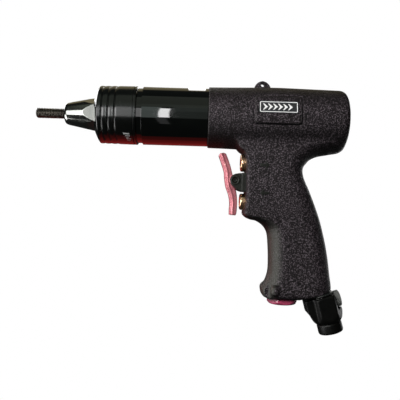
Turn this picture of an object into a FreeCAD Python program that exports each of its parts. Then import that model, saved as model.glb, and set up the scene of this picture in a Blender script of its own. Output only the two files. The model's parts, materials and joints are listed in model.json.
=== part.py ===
import FreeCAD, Part
import math
import os
import Sketcher

# Reversible air tool for threaded rivet inserts, built in millimetres.
# The spindle axis is X: the nose points to -X, the rear cap to +X.
# The pistol handle points to -Z.  The origin is the centre of the nose face.

os.makedirs("parts", exist_ok=True)
doc = FreeCAD.newDocument("rivet_gun")
sheet = doc.addObject("Spreadsheet::Sheet", "dims")
Vector = FreeCAD.Vector

DIMS = {
    # drive screw that carries the insert
    "mandrel_tip": -23.0,
    "mandrel_thread_end": -0.3,
    "mandrel_radius": 4.0,
    "mandrel_shank_radius": 3.7,
    "mandrel_head_front": 34.0,
    "mandrel_head_rear": 41.0,
    "mandrel_head_flats": 13.0,
    # nosepiece
    "nose_bore": 4.3,
    "nose_face_radius": 7.2,
    "nose_round_radius": 8.7,
    "nose_round_end": 2.5,
    "nose_rear": 24.0,
    "nose_rear_radius": 13.0,
    "nose_flats": 22.0,
    "nose_neck_radius": 8.95,
    "nose_neck_end": 31.5,
    # adjusting sleeve
    "sleeve_front": 24.3,
    "sleeve_rear": 57.0,
    "sleeve_face_radius": 14.0,
    "sleeve_radius": 22.4,
    "sleeve_rear_radius": 22.8,
    "sleeve_wall_end": 32.0,
    "sleeve_chamber_radius": 15.0,
    "sleeve_bore": 18.95,
    "sleeve_bore_front": 42.0,
    "sleeve_groove_depth": 0.5,
    "sleeve_groove_width": 1.4,
    "sleeve_groove_pitch": 4.95,
    "sleeve_groove_first": 30.8,
    "ring_groove_front": 55.2,
    "ring_groove_rear": 56.2,
    "ring_groove_radius": 21.4,
    # gear housing
    "boss_front": 44.0,
    "boss_radius": 18.9,
    "neck_front": 57.3,
    "neck_rear": 61.5,
    "neck_radius": 21.3,
    "barrel_radius": 22.5,
    "barrel_rear": 112.0,
    "spigot_radius": 20.95,
    "spigot_rear": 121.0,
    "boss_bore": 10.2,
    "pocket_front": 47.0,
    "pocket_radius": 16.3,
    "gear_bore_front": 68.0,
    "gear_bore": 20.05,
    # gears
    "gear_module": 0.8,
    "sun_teeth": 15,
    "ring_teeth": 45,
    "gear_backlash": 0.12,
    "planet_orbit": 12.0,
    "planet_bore": 2.56,
    "planet_pin_radius": 2.5,
    "ring_front": 75.0,
    "ring_rear": 105.0,
    "ring_outer": 20.0,
    "stage_two_front": 75.5,
    "stage_two_width": 11.0,
    "stage_one_front": 93.5,
    "stage_one_width": 10.0,
    "carrier_radius": 16.5,
    "carrier_two_front": 69.0,
    "carrier_two_rear": 74.0,
    "carrier_one_front": 88.0,
    "carrier_one_rear": 92.5,
    # motor
    "plate_hub_front": 106.0,
    "motor_radius": 19.9,
    "motor_bore_housing": 20.0,
    "cylinder_front": 131.3,
    "cylinder_rear": 192.0,
    "cylinder_bore": 16.2,
    "cylinder_offset": 1.6,
    "rotor_front": 131.8,
    "rotor_rear": 191.5,
    "rotor_radius": 14.2,
    "rotor_slot_floor": 6.5,
    "vane_tip": 14.55,
    "vane_thickness": 2.0,
    "rear_plate_front": 192.3,
    "rear_plate_rear": 203.0,
    "locating_pin_radius": 1.0,
    # moulded housing
    "housing_front": 112.3,
    "housing_rear": 221.2,
    "housing_front_radius": 23.7,
    "housing_mid_radius": 24.9,
    "housing_end_radius": 24.0,
    "housing_relief_radius": 12.0,
    "housing_relief_rear": 216.0,
    "handle_half_width": 17.0,
    "grip_half_width": 15.5,
    "handle_bottom": -140.0,
    # hanging eye
    "eye_x": 154.4,
    "eye_hole_height": 26.7,
    "eye_hole_radius": 1.3,
    "eye_apex": 29.8,
    "eye_half_base": 6.7,
    "eye_half_thickness": 2.0,
    # label
    "pad_centre_x": 164.3,
    "pad_centre_z": 3.9,
    "pad_length": 35.0,
    "pad_height": 21.0,
    "pad_surface_radius": 25.7,
    "label_length": 29.0,
    "label_height": 9.0,
    "label_centre_z": 5.8,
    "label_thickness": 0.25,
    # trigger and its bracket
    "pivot_x": 134.7,
    "pivot_z": -48.7,
    "pivot_pin_radius": 1.5,
    "trigger_half_width": 4.5,
    "ear_gap": 4.85,
    "ear_outer": 7.6,
    "ear_radius": 4.3,
    # valves
    "valve_face": 138.7,
    "valve_seat": 149.2,
    "reverse_z": -34.8,
    "forward_z": -65.4,
    "reverse_bushing_radius": 6.95,
    "forward_bushing_radius": 6.45,
    "bushing_rear": 158.0,
    "plunger_front": 139.6,
    "plunger_radius": 3.3,
    "plunger_fit": 0.05,
    "poppet_front": 151.5,
    "poppet_rear": 154.0,
    "poppet_radius": 4.4,
    "valve_bore_end": 168.0,
    "spring_radius": 2.9,
    "spring_wire": 0.45,
    # exhaust
    "exhaust_x": 174.8,
    "exhaust_radius": 9.5,
    "exhaust_top": -102.0,
    "cap_corner_radius": 12.5,
    "cap_bottom": -144.5,
    # inlet: s runs down the tilted inlet axis from a point level with the handle's end
    "inlet_x": 206.8,
    "inlet_z": -138.7,
    "inlet_tilt": 15.7,
    "inlet_face": -3.9,
    "inlet_bore": 7.0,
    "inlet_shank": 6.0,
    "swivel_flats": 22.6,
    "swivel_top": -1.2,
    "swivel_bottom": 20.0,
    "socket_radius": 9.75,
    "socket_end": 28.2,
    "socket_thread_radius": 5.8,
    "knob_radius": 6.5,
    "knob_thickness": 4.5,
    "knob_station": 3.7,
    "knob_seat": 8.2,
}

for row, (alias, number) in enumerate(DIMS.items(), 1):
    sheet.set("A%d" % row, alias)
    sheet.set("B%d" % row, str(number))
    sheet.setAlias("B%d" % row, alias)
doc.recompute()


class Size:
    """A number together with the spreadsheet expression that gives it."""

    def __init__(self, value, text):
        self.value = float(value)
        self.text = text

    def __add__(self, other):
        other = as_size(other)
        return Size(self.value + other.value, "(%s + %s)" % (self.text, other.text))

    def __sub__(self, other):
        other = as_size(other)
        return Size(self.value - other.value, "(%s - %s)" % (self.text, other.text))

    def __mul__(self, factor):
        other = as_size(factor)
        return Size(self.value * other.value, "(%s * %s)" % (self.text, other.text))

    def __neg__(self):
        return Size(-self.value, "(-1 * %s)" % self.text)


def as_size(item):
    """Plain numbers become fixed sizes, names become spreadsheet cells."""
    if isinstance(item, Size):
        return item
    if isinstance(item, str):
        return Size(DIMS[item], "dims." + item)
    return Size(item, "%.6f" % item)


def D(name):
    """The sheet value called name."""
    return as_size(name)


def bind(obj, prop, size):
    obj.setExpression(prop, as_size(size).text)


def origin_plane(body, role):
    for feature in body.Origin.OriginFeatures:
        if feature.Role == role:
            return feature
    raise ValueError(role)


def new_body(label):
    body = doc.addObject("PartDesign::Body", label)
    body.Label = label
    return body


def sketch_on(body, name, role, at=None, rotation=None):
    """A sketch on one of the body's own planes, moved by a bound offset."""
    sketch = body.newObject("Sketcher::SketchObject", name)
    sketch.AttachmentSupport = (origin_plane(body, role), [""])
    sketch.MapMode = "FlatFace"
    if at is not None:
        sizes = [as_size(item) for item in at]
        base = Vector(*[size.value for size in sizes])
        sketch.AttachmentOffset = FreeCAD.Placement(base, rotation or FreeCAD.Rotation())
        for letter, size in zip("xyz", sizes):
            bind(sketch, "AttachmentOffset.Base." + letter, size)
    return sketch


def add_polygon(sketch, points):
    """A closed outline whose corners are all bound to the sheet."""
    corners = [(as_size(a), as_size(b)) for a, b in points]
    count = len(corners)
    first = sketch.GeometryCount
    for i in range(count):
        start, end = corners[i], corners[(i + 1) % count]
        line = Part.LineSegment(
            Vector(start[0].value, start[1].value, 0), Vector(end[0].value, end[1].value, 0)
        )
        sketch.addGeometry(line, False)
    for i in range(count):
        sketch.addConstraint(
            Sketcher.Constraint("Coincident", first + i, 2, first + (i + 1) % count, 1)
        )
    for i in range(count):
        for kind, size in (("DistanceX", corners[i][0]), ("DistanceY", corners[i][1])):
            index = sketch.addConstraint(
                Sketcher.Constraint(kind, -1, 1, first + i, 1, size.value)
            )
            sketch.setExpression("Constraints[%d]" % index, size.text)


def add_circle(sketch, radius):
    radius = as_size(radius)
    index = sketch.addGeometry(Part.Circle(Vector(0, 0, 0), Vector(0, 0, 1), radius.value), False)
    sketch.addConstraint(Sketcher.Constraint("Coincident", index, 3, -1, 1))
    bound = sketch.addConstraint(Sketcher.Constraint("Radius", index, radius.value))
    sketch.setExpression("Constraints[%d]" % bound, radius.text)


def hexagon(flats, turn=0.0):
    """Corner list of a hexagon of the given size across flats."""
    flats = as_size(flats)
    corner = 0.5 / math.cos(math.radians(30))
    corners = []
    for i in range(6):
        angle = math.radians(60 * i + turn)
        corners.append((flats * (corner * math.cos(angle)), flats * (corner * math.sin(angle))))
    return corners


def turned(label, profile):
    """A body of revolution about its own X axis, from (x, radius) corners."""
    body = new_body(label)
    sketch = sketch_on(body, label + "_profile", "XZ_Plane")
    add_polygon(sketch, profile)
    turn = body.newObject("PartDesign::Revolution", label + "_turn")
    turn.Profile = sketch
    turn.ReferenceAxis = (sketch, ["H_Axis"])
    turn.Angle = 360
    body.Tip = turn
    return body


def ring(label, front, rear, inner, outer):
    """A plain tube between two stations."""
    return turned(label, [(front, inner), (rear, inner), (rear, outer), (front, outer)])


def slab(label, points, half_width, centre_y=0.0):
    """A side outline in X and Z, made solid across Y."""
    body = new_body(label)
    half_width = as_size(half_width)
    start = half_width * -1.0 - as_size(centre_y)
    sketch = sketch_on(body, label + "_outline", "XZ_Plane", (0.0, 0.0, start))
    add_polygon(sketch, points)
    pad = body.newObject("PartDesign::Pad", label + "_pad")
    pad.Profile = sketch
    bind(pad, "Length", half_width * 2.0)
    body.Tip = pad
    return body


def pose(obj, at, rotation=None):
    """Places an object, with its position bound to the sheet."""
    sizes = [as_size(item) for item in at]
    base = Vector(*[size.value for size in sizes])
    obj.Placement = FreeCAD.Placement(base, rotation or FreeCAD.Rotation())
    for letter, size in zip("xyz", sizes):
        bind(obj, "Placement.Base." + letter, size)
    return obj


X_DIR = Vector(1, 0, 0)
Y_DIR = Vector(0, 1, 0)
Z_DIR = Vector(0, 0, 1)


def rod(name, radius, length, at, direction):
    """A plain cylinder that starts at a point and runs along a direction."""
    cylinder = doc.addObject("Part::Cylinder", name)
    bind(cylinder, "Radius", radius)
    bind(cylinder, "Height", length)
    return pose(cylinder, at, FreeCAD.Rotation(Z_DIR, direction))


def block(name, sides, at, rotation=None):
    """A box with bound sides, from its lowest corner."""
    box = doc.addObject("Part::Box", name)
    for prop, side in zip(("Length", "Width", "Height"), sides):
        bind(box, prop, side)
    return pose(box, at, rotation)


def fuse(label, shapes):
    joined = doc.addObject("Part::MultiFuse", label)
    joined.Shapes = shapes
    joined.Label = label
    return joined


def cut(label, base, tools):
    tool = tools[0] if len(tools) == 1 else fuse(label + "_tools", tools)
    result = doc.addObject("Part::Cut", label)
    result.Base = base
    result.Tool = tool
    result.Label = label
    return result


def common(label, first, second):
    result = doc.addObject("Part::Common", label)
    result.Base = first
    result.Tool = second
    result.Label = label
    return result


def written(label, shape, at=(0.0, 0.0, 0.0), rotation=None):
    """A shape computed from sheet values, for forms with no primitive."""
    feature = doc.addObject("Part::Feature", label)
    feature.Label = label
    feature.Shape = shape
    return pose(feature, at, rotation)


def cell(name):
    return float(sheet.get(name))


parts = {}


def keep(obj):
    parts[obj.Label] = obj
    return obj


# ---------------------------------------------------------------- nose

mandrel_shaft = turned(
    "mandrel_shaft",
    [
        ("mandrel_tip", 0.0),
        ("mandrel_tip", D("mandrel_radius") - 0.8),
        (D("mandrel_tip") + 0.8, "mandrel_radius"),
        ("mandrel_thread_end", "mandrel_radius"),
        ("mandrel_thread_end", "mandrel_shank_radius"),
        (D("mandrel_head_front") + 1.0, "mandrel_shank_radius"),
        (D("mandrel_head_front") + 1.0, 0.0),
    ],
)


def hex_bar(name, flats, front, rear, turn=0.0):
    """A hexagonal bar along X."""
    body = new_body(name)
    sketch = sketch_on(body, name + "_hexagon", "YZ_Plane", (0.0, 0.0, front))
    add_polygon(sketch, hexagon(flats, turn))
    pad = body.newObject("PartDesign::Pad", name + "_pad")
    pad.Profile = sketch
    bind(pad, "Length", as_size(rear) - as_size(front))
    body.Tip = pad
    return body


mandrel_head = hex_bar("mandrel_head", "mandrel_head_flats", "mandrel_head_front", "mandrel_head_rear")
keep(fuse("mandrel", [mandrel_shaft, mandrel_head]))

nose_cone = turned(
    "nose_cone",
    [
        (0.0, "nose_bore"),
        (0.0, "nose_face_radius"),
        (D("nose_round_end") * 0.35, D("nose_round_radius") - 0.5),
        ("nose_round_end", "nose_round_radius"),
        ("nose_rear", "nose_rear_radius"),
        ("nose_rear", "nose_bore"),
    ],
)
# Two of the six flats face the sides of the tool.
nose_hexagon = hex_bar("nose_hexagon", "nose_flats", -1.0, D("nose_rear") + 1.0, 30.0)
nose_faceted = common("nose_faceted", nose_cone, nose_hexagon)
nose_neck = ring("nose_neck", D("nose_rear") - 0.5, "nose_neck_end", "nose_bore", "nose_neck_radius")
nose_joined = fuse("nose_joined", [nose_faceted, nose_neck])
nose_counterbore = rod(
    "nose_counterbore", D("nose_bore") + 1.2, 30.0, (8.0, 0.0, 0.0), X_DIR
)
keep(cut("nosepiece", nose_joined, [nose_counterbore]))


def sleeve_profile():
    """Outline of the adjusting sleeve with its shallow hand grooves."""
    outer = [
        ("sleeve_front", "sleeve_face_radius"),
        (D("sleeve_front") + 0.7, D("sleeve_radius") - 5.6),
        (D("sleeve_front") + 2.1, D("sleeve_radius") - 2.1),
        (D("sleeve_front") + 3.9, "sleeve_radius"),
    ]
    for i in range(3):
        start = D("sleeve_groove_first") + D("sleeve_groove_pitch") * float(i)
        middle = start + D("sleeve_groove_width") * 0.5
        outer.append((start, "sleeve_radius"))
        outer.append((middle, D("sleeve_radius") - D("sleeve_groove_depth")))
        outer.append((start + D("sleeve_groove_width"), "sleeve_radius"))
    outer += [
        (D("ring_groove_front") - 1.0, "sleeve_rear_radius"),
        ("ring_groove_front", "sleeve_rear_radius"),
        ("ring_groove_front", "ring_groove_radius"),
        ("ring_groove_rear", "ring_groove_radius"),
        ("ring_groove_rear", "sleeve_rear_radius"),
        ("sleeve_rear", D("sleeve_rear_radius") - 0.3),
    ]
    inner = [
        ("sleeve_rear", "sleeve_bore"),
        ("sleeve_bore_front", "sleeve_bore"),
        ("sleeve_bore_front", "sleeve_chamber_radius"),
        ("sleeve_wall_end", "sleeve_chamber_radius"),
        ("sleeve_wall_end", D("nose_neck_radius") + 0.05),
        ("sleeve_front", D("nose_neck_radius") + 0.05),
    ]
    return outer + inner


keep(turned("adjusting_sleeve", sleeve_profile()))
keep(
    ring(
        "sleeve_ring",
        D("ring_groove_front") + 0.05,
        D("ring_groove_rear") - 0.05,
        D("ring_groove_radius") + 0.05,
        D("sleeve_rear_radius") - 0.5,
    )
)

# ---------------------------------------------------------------- gear housing and bearings

keep(
    turned(
        "gear_housing",
        [
            ("boss_front", "boss_bore"),
            ("boss_front", D("boss_radius") - 0.6),
            (D("boss_front") + 0.6, "boss_radius"),
            ("neck_front", "boss_radius"),
            ("neck_front", "neck_radius"),
            ("neck_rear", "neck_radius"),
            ("neck_rear", D("barrel_radius") - 0.4),
            (D("neck_rear") + 0.4, "barrel_radius"),
            ("barrel_rear", "barrel_radius"),
            ("barrel_rear", "spigot_radius"),
            ("spigot_rear", "spigot_radius"),
            ("spigot_rear", "gear_bore"),
            ("gear_bore_front", "gear_bore"),
            ("gear_bore_front", "pocket_radius"),
            ("pocket_front", "pocket_radius"),
            ("pocket_front", "boss_bore"),
        ],
    )
)

BALLS_PER_BEARING = 9


def ball_set(label, station, orbit, radius, count=BALLS_PER_BEARING):
    """Separate balls spaced evenly on a circle about X."""
    balls = []
    for i in range(count):
        angle = 2 * math.pi * i / count
        ball = doc.addObject("Part::Sphere", "%s_%d" % (label, i))
        bind(ball, "Radius", radius)
        orbit_size = as_size(orbit)
        pose(ball, (station, orbit_size * math.cos(angle), orbit_size * math.sin(angle)))
        balls.append(ball)
    group = doc.addObject("Part::Compound", label)
    group.Links = balls
    group.Label = label
    return keep(group)


def ball_bearing(label, front, width, bore, inner_race, outer_race, outer):
    """Inner ring, outer ring and loose balls between plain races."""
    front = as_size(front)
    rear = front + width
    keep(ring(label + "_inner", front, rear, bore, inner_race))
    keep(ring(label + "_outer", front, rear, outer_race, outer))
    gap = as_size(outer_race) - as_size(inner_race)
    orbit = as_size(inner_race) + gap * 0.5
    ball_set(label + "_balls", front + as_size(width) * 0.5, orbit, gap * 0.5 - 0.02)


keep(ring("thrust_washer_front", "pocket_front", 49.0, 10.6, D("pocket_radius") - 0.05))
ball_set("thrust_balls", 50.7, 13.3, 1.65, 12)
keep(ring("thrust_washer_rear", 52.4, 54.4, 9.55, D("pocket_radius") - 0.35))
ball_bearing("spindle_bearing", 59.0, 8.0, 8.02, 10.5, 13.5, D("pocket_radius") - 0.05)

# ---------------------------------------------------------------- output spindle and gears

PLANETS = 3


def planet_angle(index):
    return math.pi / 2 + 2 * math.pi * index / PLANETS


def pin_set(label, front, rear):
    """The three planet pins of a stage, as separate pins in one group."""
    pins = []
    orbit = D("planet_orbit")
    for i in range(PLANETS):
        angle = planet_angle(i)
        at = (front, orbit * math.cos(angle), orbit * math.sin(angle))
        length = as_size(rear) - as_size(front)
        pins.append(rod("%s_%d" % (label, i), "planet_pin_radius", length, at, X_DIR))
    group = doc.addObject("Part::Compound", label)
    group.Links = pins
    group.Label = label
    return keep(group)


def pin_holes(name, front, rear):
    orbit = D("planet_orbit")
    holes = []
    for i in range(PLANETS):
        angle = planet_angle(i)
        at = (as_size(front) - 1.0, orbit * math.cos(angle), orbit * math.sin(angle))
        length = as_size(rear) - as_size(front) + 2.0
        holes.append(
            rod("%s_%d" % (name, i), D("planet_pin_radius") + 0.02, length, at, X_DIR)
        )
    return holes


spindle_turned = turned(
    "spindle_turned",
    [
        (32.5, 0.0),
        (32.5, 9.5),
        (54.5, 9.5),
        (54.5, 15.5),
        (58.6, 15.5),
        (58.6, 8.0),
        ("carrier_two_front", 8.0),
        ("carrier_two_front", "carrier_radius"),
        ("carrier_two_rear", "carrier_radius"),
        ("carrier_two_rear", 0.0),
    ],
)
spindle_socket = hex_bar("spindle_socket", D("mandrel_head_flats") + 0.1, 32.0, 41.3)
keep(
    cut(
        "output_spindle",
        spindle_turned,
        [spindle_socket] + pin_holes("spindle_pin_hole", "carrier_two_front", "carrier_two_rear"),
    )
)
pin_set("planet_pins_2", "carrier_two_front", D("stage_two_front") + D("stage_two_width"))
pin_set("planet_pins_1", "carrier_one_front", D("stage_one_front") + D("stage_one_width"))


def involute_angle(base, radius):
    """Involute function of the pressure angle at a radius."""
    if radius <= base:
        return 0.0
    angle = math.acos(base / radius)
    return math.tan(angle) - angle


def gear_face(teeth, root, tip, thinning, first_tooth):
    """Flat gear outline in the YZ plane with one tooth centred on first_tooth."""
    pressure = math.radians(20)
    pitch = cell("gear_module") * teeth / 2
    base = pitch * math.cos(pressure)
    half_pitch = math.pi / (2 * teeth) - thinning / (2 * pitch)
    steps = 5
    flank = []
    for i in range(steps + 1):
        radius = root + (tip - root) * i / steps
        half = half_pitch + involute_angle(base, pitch) - involute_angle(base, radius)
        flank.append((radius, half))
    points = []
    for tooth in range(teeth):
        centre = first_tooth + 2 * math.pi * tooth / teeth
        for radius, half in flank:
            points.append(Vector(0, radius * math.cos(centre - half), radius * math.sin(centre - half)))
        for radius, half in reversed(flank):
            points.append(Vector(0, radius * math.cos(centre + half), radius * math.sin(centre + half)))
    points.append(points[0])
    return Part.Face(Part.makePolygon(points))


def external_gear(teeth, first_tooth):
    module = cell("gear_module")
    pitch = module * teeth / 2
    thinning = cell("gear_backlash") / 2
    return gear_face(teeth, pitch - 1.25 * module, pitch + module, thinning, first_tooth)


SUN_TEETH = int(DIMS["sun_teeth"])
RING_TEETH = int(DIMS["ring_teeth"])


def sun_gear(width):
    return external_gear(SUN_TEETH, planet_angle(0)).extrude(Vector(width, 0, 0))


def planet_gears(stage, front, width):
    """Three loose planet gears, each with a tooth pointing straight out at rest."""
    for i in range(PLANETS):
        angle = planet_angle(i)
        blank = external_gear(SUN_TEETH, angle).extrude(Vector(cell(width), 0, 0))
        bore = Part.makeCylinder(cell("planet_bore"), cell(width) + 2, Vector(-1, 0, 0), X_DIR)
        orbit = D("planet_orbit")
        at = (front, orbit * math.cos(angle), orbit * math.sin(angle))
        keep(written("planet_%s%s" % (stage, "abc"[i]), blank.cut(bore), at))


planet_gears("2", "stage_two_front", "stage_two_width")
planet_gears("1", "stage_one_front", "stage_one_width")


def ring_gear_shape():
    module = cell("gear_module")
    pitch = module * RING_TEETH / 2
    length = cell("ring_rear") - cell("ring_front")
    blank = Part.makeCylinder(cell("ring_outer"), length, Vector(0, 0, 0), X_DIR)
    thinning = -cell("gear_backlash") / 2
    face = gear_face(RING_TEETH, pitch - module, pitch + 1.25 * module, thinning, planet_angle(0))
    return blank.cut(face.extrude(Vector(length, 0, 0)))


keep(written("ring_gear", ring_gear_shape(), ("ring_front", 0.0, 0.0)))

carrier_disc = ring("carrier_disc", "carrier_one_front", "carrier_one_rear", 0.0, "carrier_radius")
carrier_sun = written("carrier_sun", sun_gear(12.6), ("stage_two_front", 0.0, 0.0))
carrier_blank = fuse("carrier_blank", [carrier_disc, carrier_sun])
keep(
    cut(
        "carrier_1",
        carrier_blank,
        pin_holes("carrier_pin_hole", "carrier_one_front", "carrier_one_rear"),
    )
)

# ---------------------------------------------------------------- vane motor

LOCATING_PIN = (129.0, 0.0, -17.2)


def locating_pin_tool(name):
    """The hole that the locating pin sits in."""
    return rod(name, D("locating_pin_radius") + 0.02, 5.1, LOCATING_PIN, X_DIR)


front_plate_blank = turned(
    "front_plate_blank",
    [
        ("plate_hub_front", 16.0),
        ("plate_hub_front", "motor_radius"),
        ("cylinder_front", "motor_radius"),
        ("cylinder_front", 6.5),
        (128.0, 6.5),
        (128.0, 11.05),
        (120.0, 11.05),
        (120.0, 16.0),
    ],
)
keep(cut("motor_front_plate", front_plate_blank, [locating_pin_tool("front_plate_pin_hole")]))
ball_bearing("front_motor_bearing", 120.6, 7.0, 5.02, 7.0, 9.6, 11.0)

cylinder_blank = ring("cylinder_blank", "cylinder_front", "cylinder_rear", 0.0, "motor_radius")
cylinder_bore = rod(
    "cylinder_bore_tool",
    "cylinder_bore",
    D("cylinder_rear") - D("cylinder_front") + 2.0,
    (D("cylinder_front") - 1.0, 0.0, "cylinder_offset"),
    X_DIR,
)
PORTS = {"reverse": (156.0, 0.0, 3.0), "forward": (166.0, 10.8, 2.6), "exhaust": (174.0, -10.8, 2.8)}
port_tools = []
for port_name, (port_x, port_y, port_radius) in PORTS.items():
    port_tools.append(rod("cylinder_port_" + port_name, port_radius, 12.0, (port_x, port_y, -22.0), Z_DIR))
port_tools.append(locating_pin_tool("cylinder_pin_hole"))
keep(cut("motor_cylinder", cylinder_blank, [cylinder_bore] + port_tools))

rotor_turned = turned(
    "rotor_turned",
    [
        ("stage_one_front", 0.0),
        ("stage_one_front", 4.6),
        (104.5, 4.6),
        (104.5, 5.0),
        ("rotor_front", 5.0),
        ("rotor_front", "rotor_radius"),
        ("rotor_rear", "rotor_radius"),
        ("rotor_rear", 4.5),
        (203.4, 4.5),
        (203.4, 0.0),
    ],
)
rotor_pinion = written("rotor_pinion", sun_gear(10.5), ("stage_one_front", 0.0, 0.0))
rotor_blank = fuse("rotor_blank", [rotor_turned, rotor_pinion])

VANES = 5
vane_bars = []
slot_tools = []
for i in range(VANES):
    lean = FreeCAD.Rotation(X_DIR, 360.0 / VANES * i + 18.0)
    slot_width = D("vane_thickness") + 0.1
    slot_low = lean.multVec(Vector(0, -slot_width.value / 2, D("rotor_slot_floor").value))
    slot_tools.append(
        block(
            "rotor_slot_%d" % i,
            (D("rotor_rear") - D("rotor_front"), slot_width, 12.0),
            ("rotor_front", slot_low.y, slot_low.z),
            lean,
        )
    )
    vane_low = lean.multVec(Vector(0, -D("vane_thickness").value / 2, D("rotor_slot_floor").value + 0.1))
    vane_bars.append(
        block(
            "rotor_vane_%d" % i,
            (
                D("rotor_rear") - D("rotor_front") - 0.4,
                "vane_thickness",
                D("vane_tip") - D("rotor_slot_floor") - 0.15,
            ),
            (D("rotor_front") + 0.2, vane_low.y, vane_low.z),
            lean,
        )
    )
keep(cut("rotor", rotor_blank, slot_tools))
vane_group = doc.addObject("Part::Compound", "rotor_vanes")
vane_group.Links = vane_bars
vane_group.Label = "rotor_vanes"
keep(vane_group)

keep(
    turned(
        "motor_rear_plate",
        [
            ("rear_plate_front", 6.0),
            ("rear_plate_front", "motor_radius"),
            ("rear_plate_rear", "motor_radius"),
            ("rear_plate_rear", 10.05),
            (195.0, 10.05),
            (195.0, 6.0),
        ],
    )
)
ball_bearing("rear_motor_bearing", 195.4, 7.0, 4.52, 6.2, 8.4, 10.0)
keep(ring("motor_spring_washer", D("rear_plate_rear") + 0.1, D("rear_plate_rear") + 0.85, 12.5, 18.5))

# ---------------------------------------------------------------- moulded housing

housing_barrel = turned(
    "housing_barrel",
    [
        ("housing_front", 0.0),
        ("housing_front", D("housing_front_radius") - 0.5),
        (D("housing_front") + 0.5, "housing_front_radius"),
        (144.0, D("housing_mid_radius") - 0.5),
        (163.0, "housing_mid_radius"),
        (187.0, D("housing_mid_radius") - 0.4),
        (214.2, "housing_end_radius"),
        (217.0, D("housing_end_radius") - 1.2),
        (219.2, D("housing_end_radius") - 3.6),
        (220.4, D("housing_end_radius") - 7.0),
        (221.0, D("housing_end_radius") - 13.0),
        ("housing_rear", 6.0),
        ("housing_rear", 0.0),
    ],
)

# Handle stations: height, front edge, rear edge, half width, corner radius.
HANDLE = [
    (-8.0, 140.5, 213.0, 15.0, 6.0),
    (-22.0, 140.5, 208.0, 16.0, 6.0),
    (-29.0, 141.0, 197.0, 16.8, 6.0),
    (-37.0, 141.3, 188.6, 17.0, 7.0),
    (-50.0, 141.5, 190.6, 17.0, 8.0),
    (-64.0, 141.6, 197.0, 17.0, 9.0),
    (-74.0, 141.8, 200.9, 16.8, 10.0),
    (-81.0, 153.5, 203.5, 16.4, 11.0),
    (-89.0, 161.3, 205.8, 15.9, 12.0),
    (-100.0, 162.8, 208.3, 15.5, 12.0),
    (-118.0, 163.0, 211.3, 15.3, 12.0),
    (-128.0, 160.0, 212.7, 15.5, 11.0),
    (-134.0, 157.4, 212.3, 15.8, 9.0),
    (-140.0, 158.6, 211.0, 15.8, 8.0),
]


def rounded_section(body, name, height, front, rear, half_width, corner):
    """One level of the handle: a rectangle with equal corner radii."""
    sketch = sketch_on(body, name, "XY_Plane", (0.0, 0.0, height))
    width = Size(half_width, "%.4f" % half_width)
    left, right, near, far = front, rear, -width.value, width.value
    k = corner
    lines = [
        ((left + k, near), (right - k, near)),
        ((right, near + k), (right, far - k)),
        ((right - k, far), (left + k, far)),
        ((left, far - k), (left, near + k)),
    ]
    centres = [(right - k, near + k), (right - k, far - k), (left + k, far - k), (left + k, near + k)]
    starts = [-90, 0, 90, 180]
    for i in range(4):
        a, b = lines[i]
        sketch.addGeometry(Part.LineSegment(Vector(a[0], a[1], 0), Vector(b[0], b[1], 0)), False)
        circle = Part.Circle(Vector(centres[i][0], centres[i][1], 0), Vector(0, 0, 1), k)
        first, last = math.radians(starts[i]), math.radians(starts[i] + 90)
        sketch.addGeometry(Part.ArcOfCircle(circle, first, last), False)
    for i in range(4):
        line, arc, after = 2 * i, 2 * i + 1, (2 * i + 2) % 8
        sketch.addConstraint(Sketcher.Constraint("Tangent", line, 2, arc, 1))
        sketch.addConstraint(Sketcher.Constraint("Tangent", arc, 2, after, 1))
    sketch.addConstraint(Sketcher.Constraint("Horizontal", 0))
    sketch.addConstraint(Sketcher.Constraint("Vertical", 2))
    sketch.addConstraint(Sketcher.Constraint("Horizontal", 4))
    sketch.addConstraint(Sketcher.Constraint("Vertical", 6))
    for arc in (3, 5, 7):
        sketch.addConstraint(Sketcher.Constraint("Equal", 1, arc))
    sketch.addConstraint(Sketcher.Constraint("Radius", 1, k))
    sketch.addConstraint(Sketcher.Constraint("DistanceX", -1, 1, 6, 1, left))
    sketch.addConstraint(Sketcher.Constraint("DistanceX", -1, 1, 2, 1, right))
    sketch.addConstraint(Sketcher.Constraint("DistanceY", -1, 1, 0, 1, near))
    sketch.addConstraint(Sketcher.Constraint("DistanceY", -1, 1, 4, 1, far))
    return sketch


for row, station in enumerate(HANDLE, 1):
    for column, value in zip("DEFGH", station):
        sheet.set("%s%d" % (column, row), str(value))
    for column, word in zip("DEFGH", ("level", "front", "rear", "half", "corner")):
        sheet.setAlias("%s%d" % (column, row), "handle_%s_%d" % (word, row))
doc.recompute()

handle_body = new_body("handle_loft")
sections = []
for row, station in enumerate(HANDLE, 1):
    section = rounded_section(handle_body, "handle_section_%d" % row, *station)
    bind(section, "AttachmentOffset.Base.z", Size(station[0], "dims.handle_level_%d" % row))
    last = section.ConstraintCount
    section.setExpression("Constraints[%d]" % (last - 5), "dims.handle_corner_%d" % row)
    section.setExpression("Constraints[%d]" % (last - 4), "dims.handle_front_%d" % row)
    section.setExpression("Constraints[%d]" % (last - 3), "dims.handle_rear_%d" % row)
    section.setExpression("Constraints[%d]" % (last - 2), "-1 * dims.handle_half_%d" % row)
    section.setExpression("Constraints[%d]" % (last - 1), "dims.handle_half_%d" % row)
    sections.append(section)
loft = handle_body.newObject("PartDesign::AdditiveLoft", "handle_loft_solid")
loft.Profile = sections[0]
loft.Sections = sections[1:]
loft.Ruled = False
loft.Closed = False
handle_body.Tip = loft

# Raised pad for the label, following the round of the housing.
pad_cylinder = rod("pad_cylinder", "pad_surface_radius", 60.0, (130.0, 0.0, 0.0), X_DIR)
pad_window = block(
    "pad_window",
    ("pad_length", 20.0, "pad_height"),
    (
        D("pad_centre_x") - D("pad_length") * 0.5,
        -28.0,
        D("pad_centre_z") - D("pad_height") * 0.5,
    ),
)
label_pad = common("label_pad", pad_cylinder, pad_window)
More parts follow.
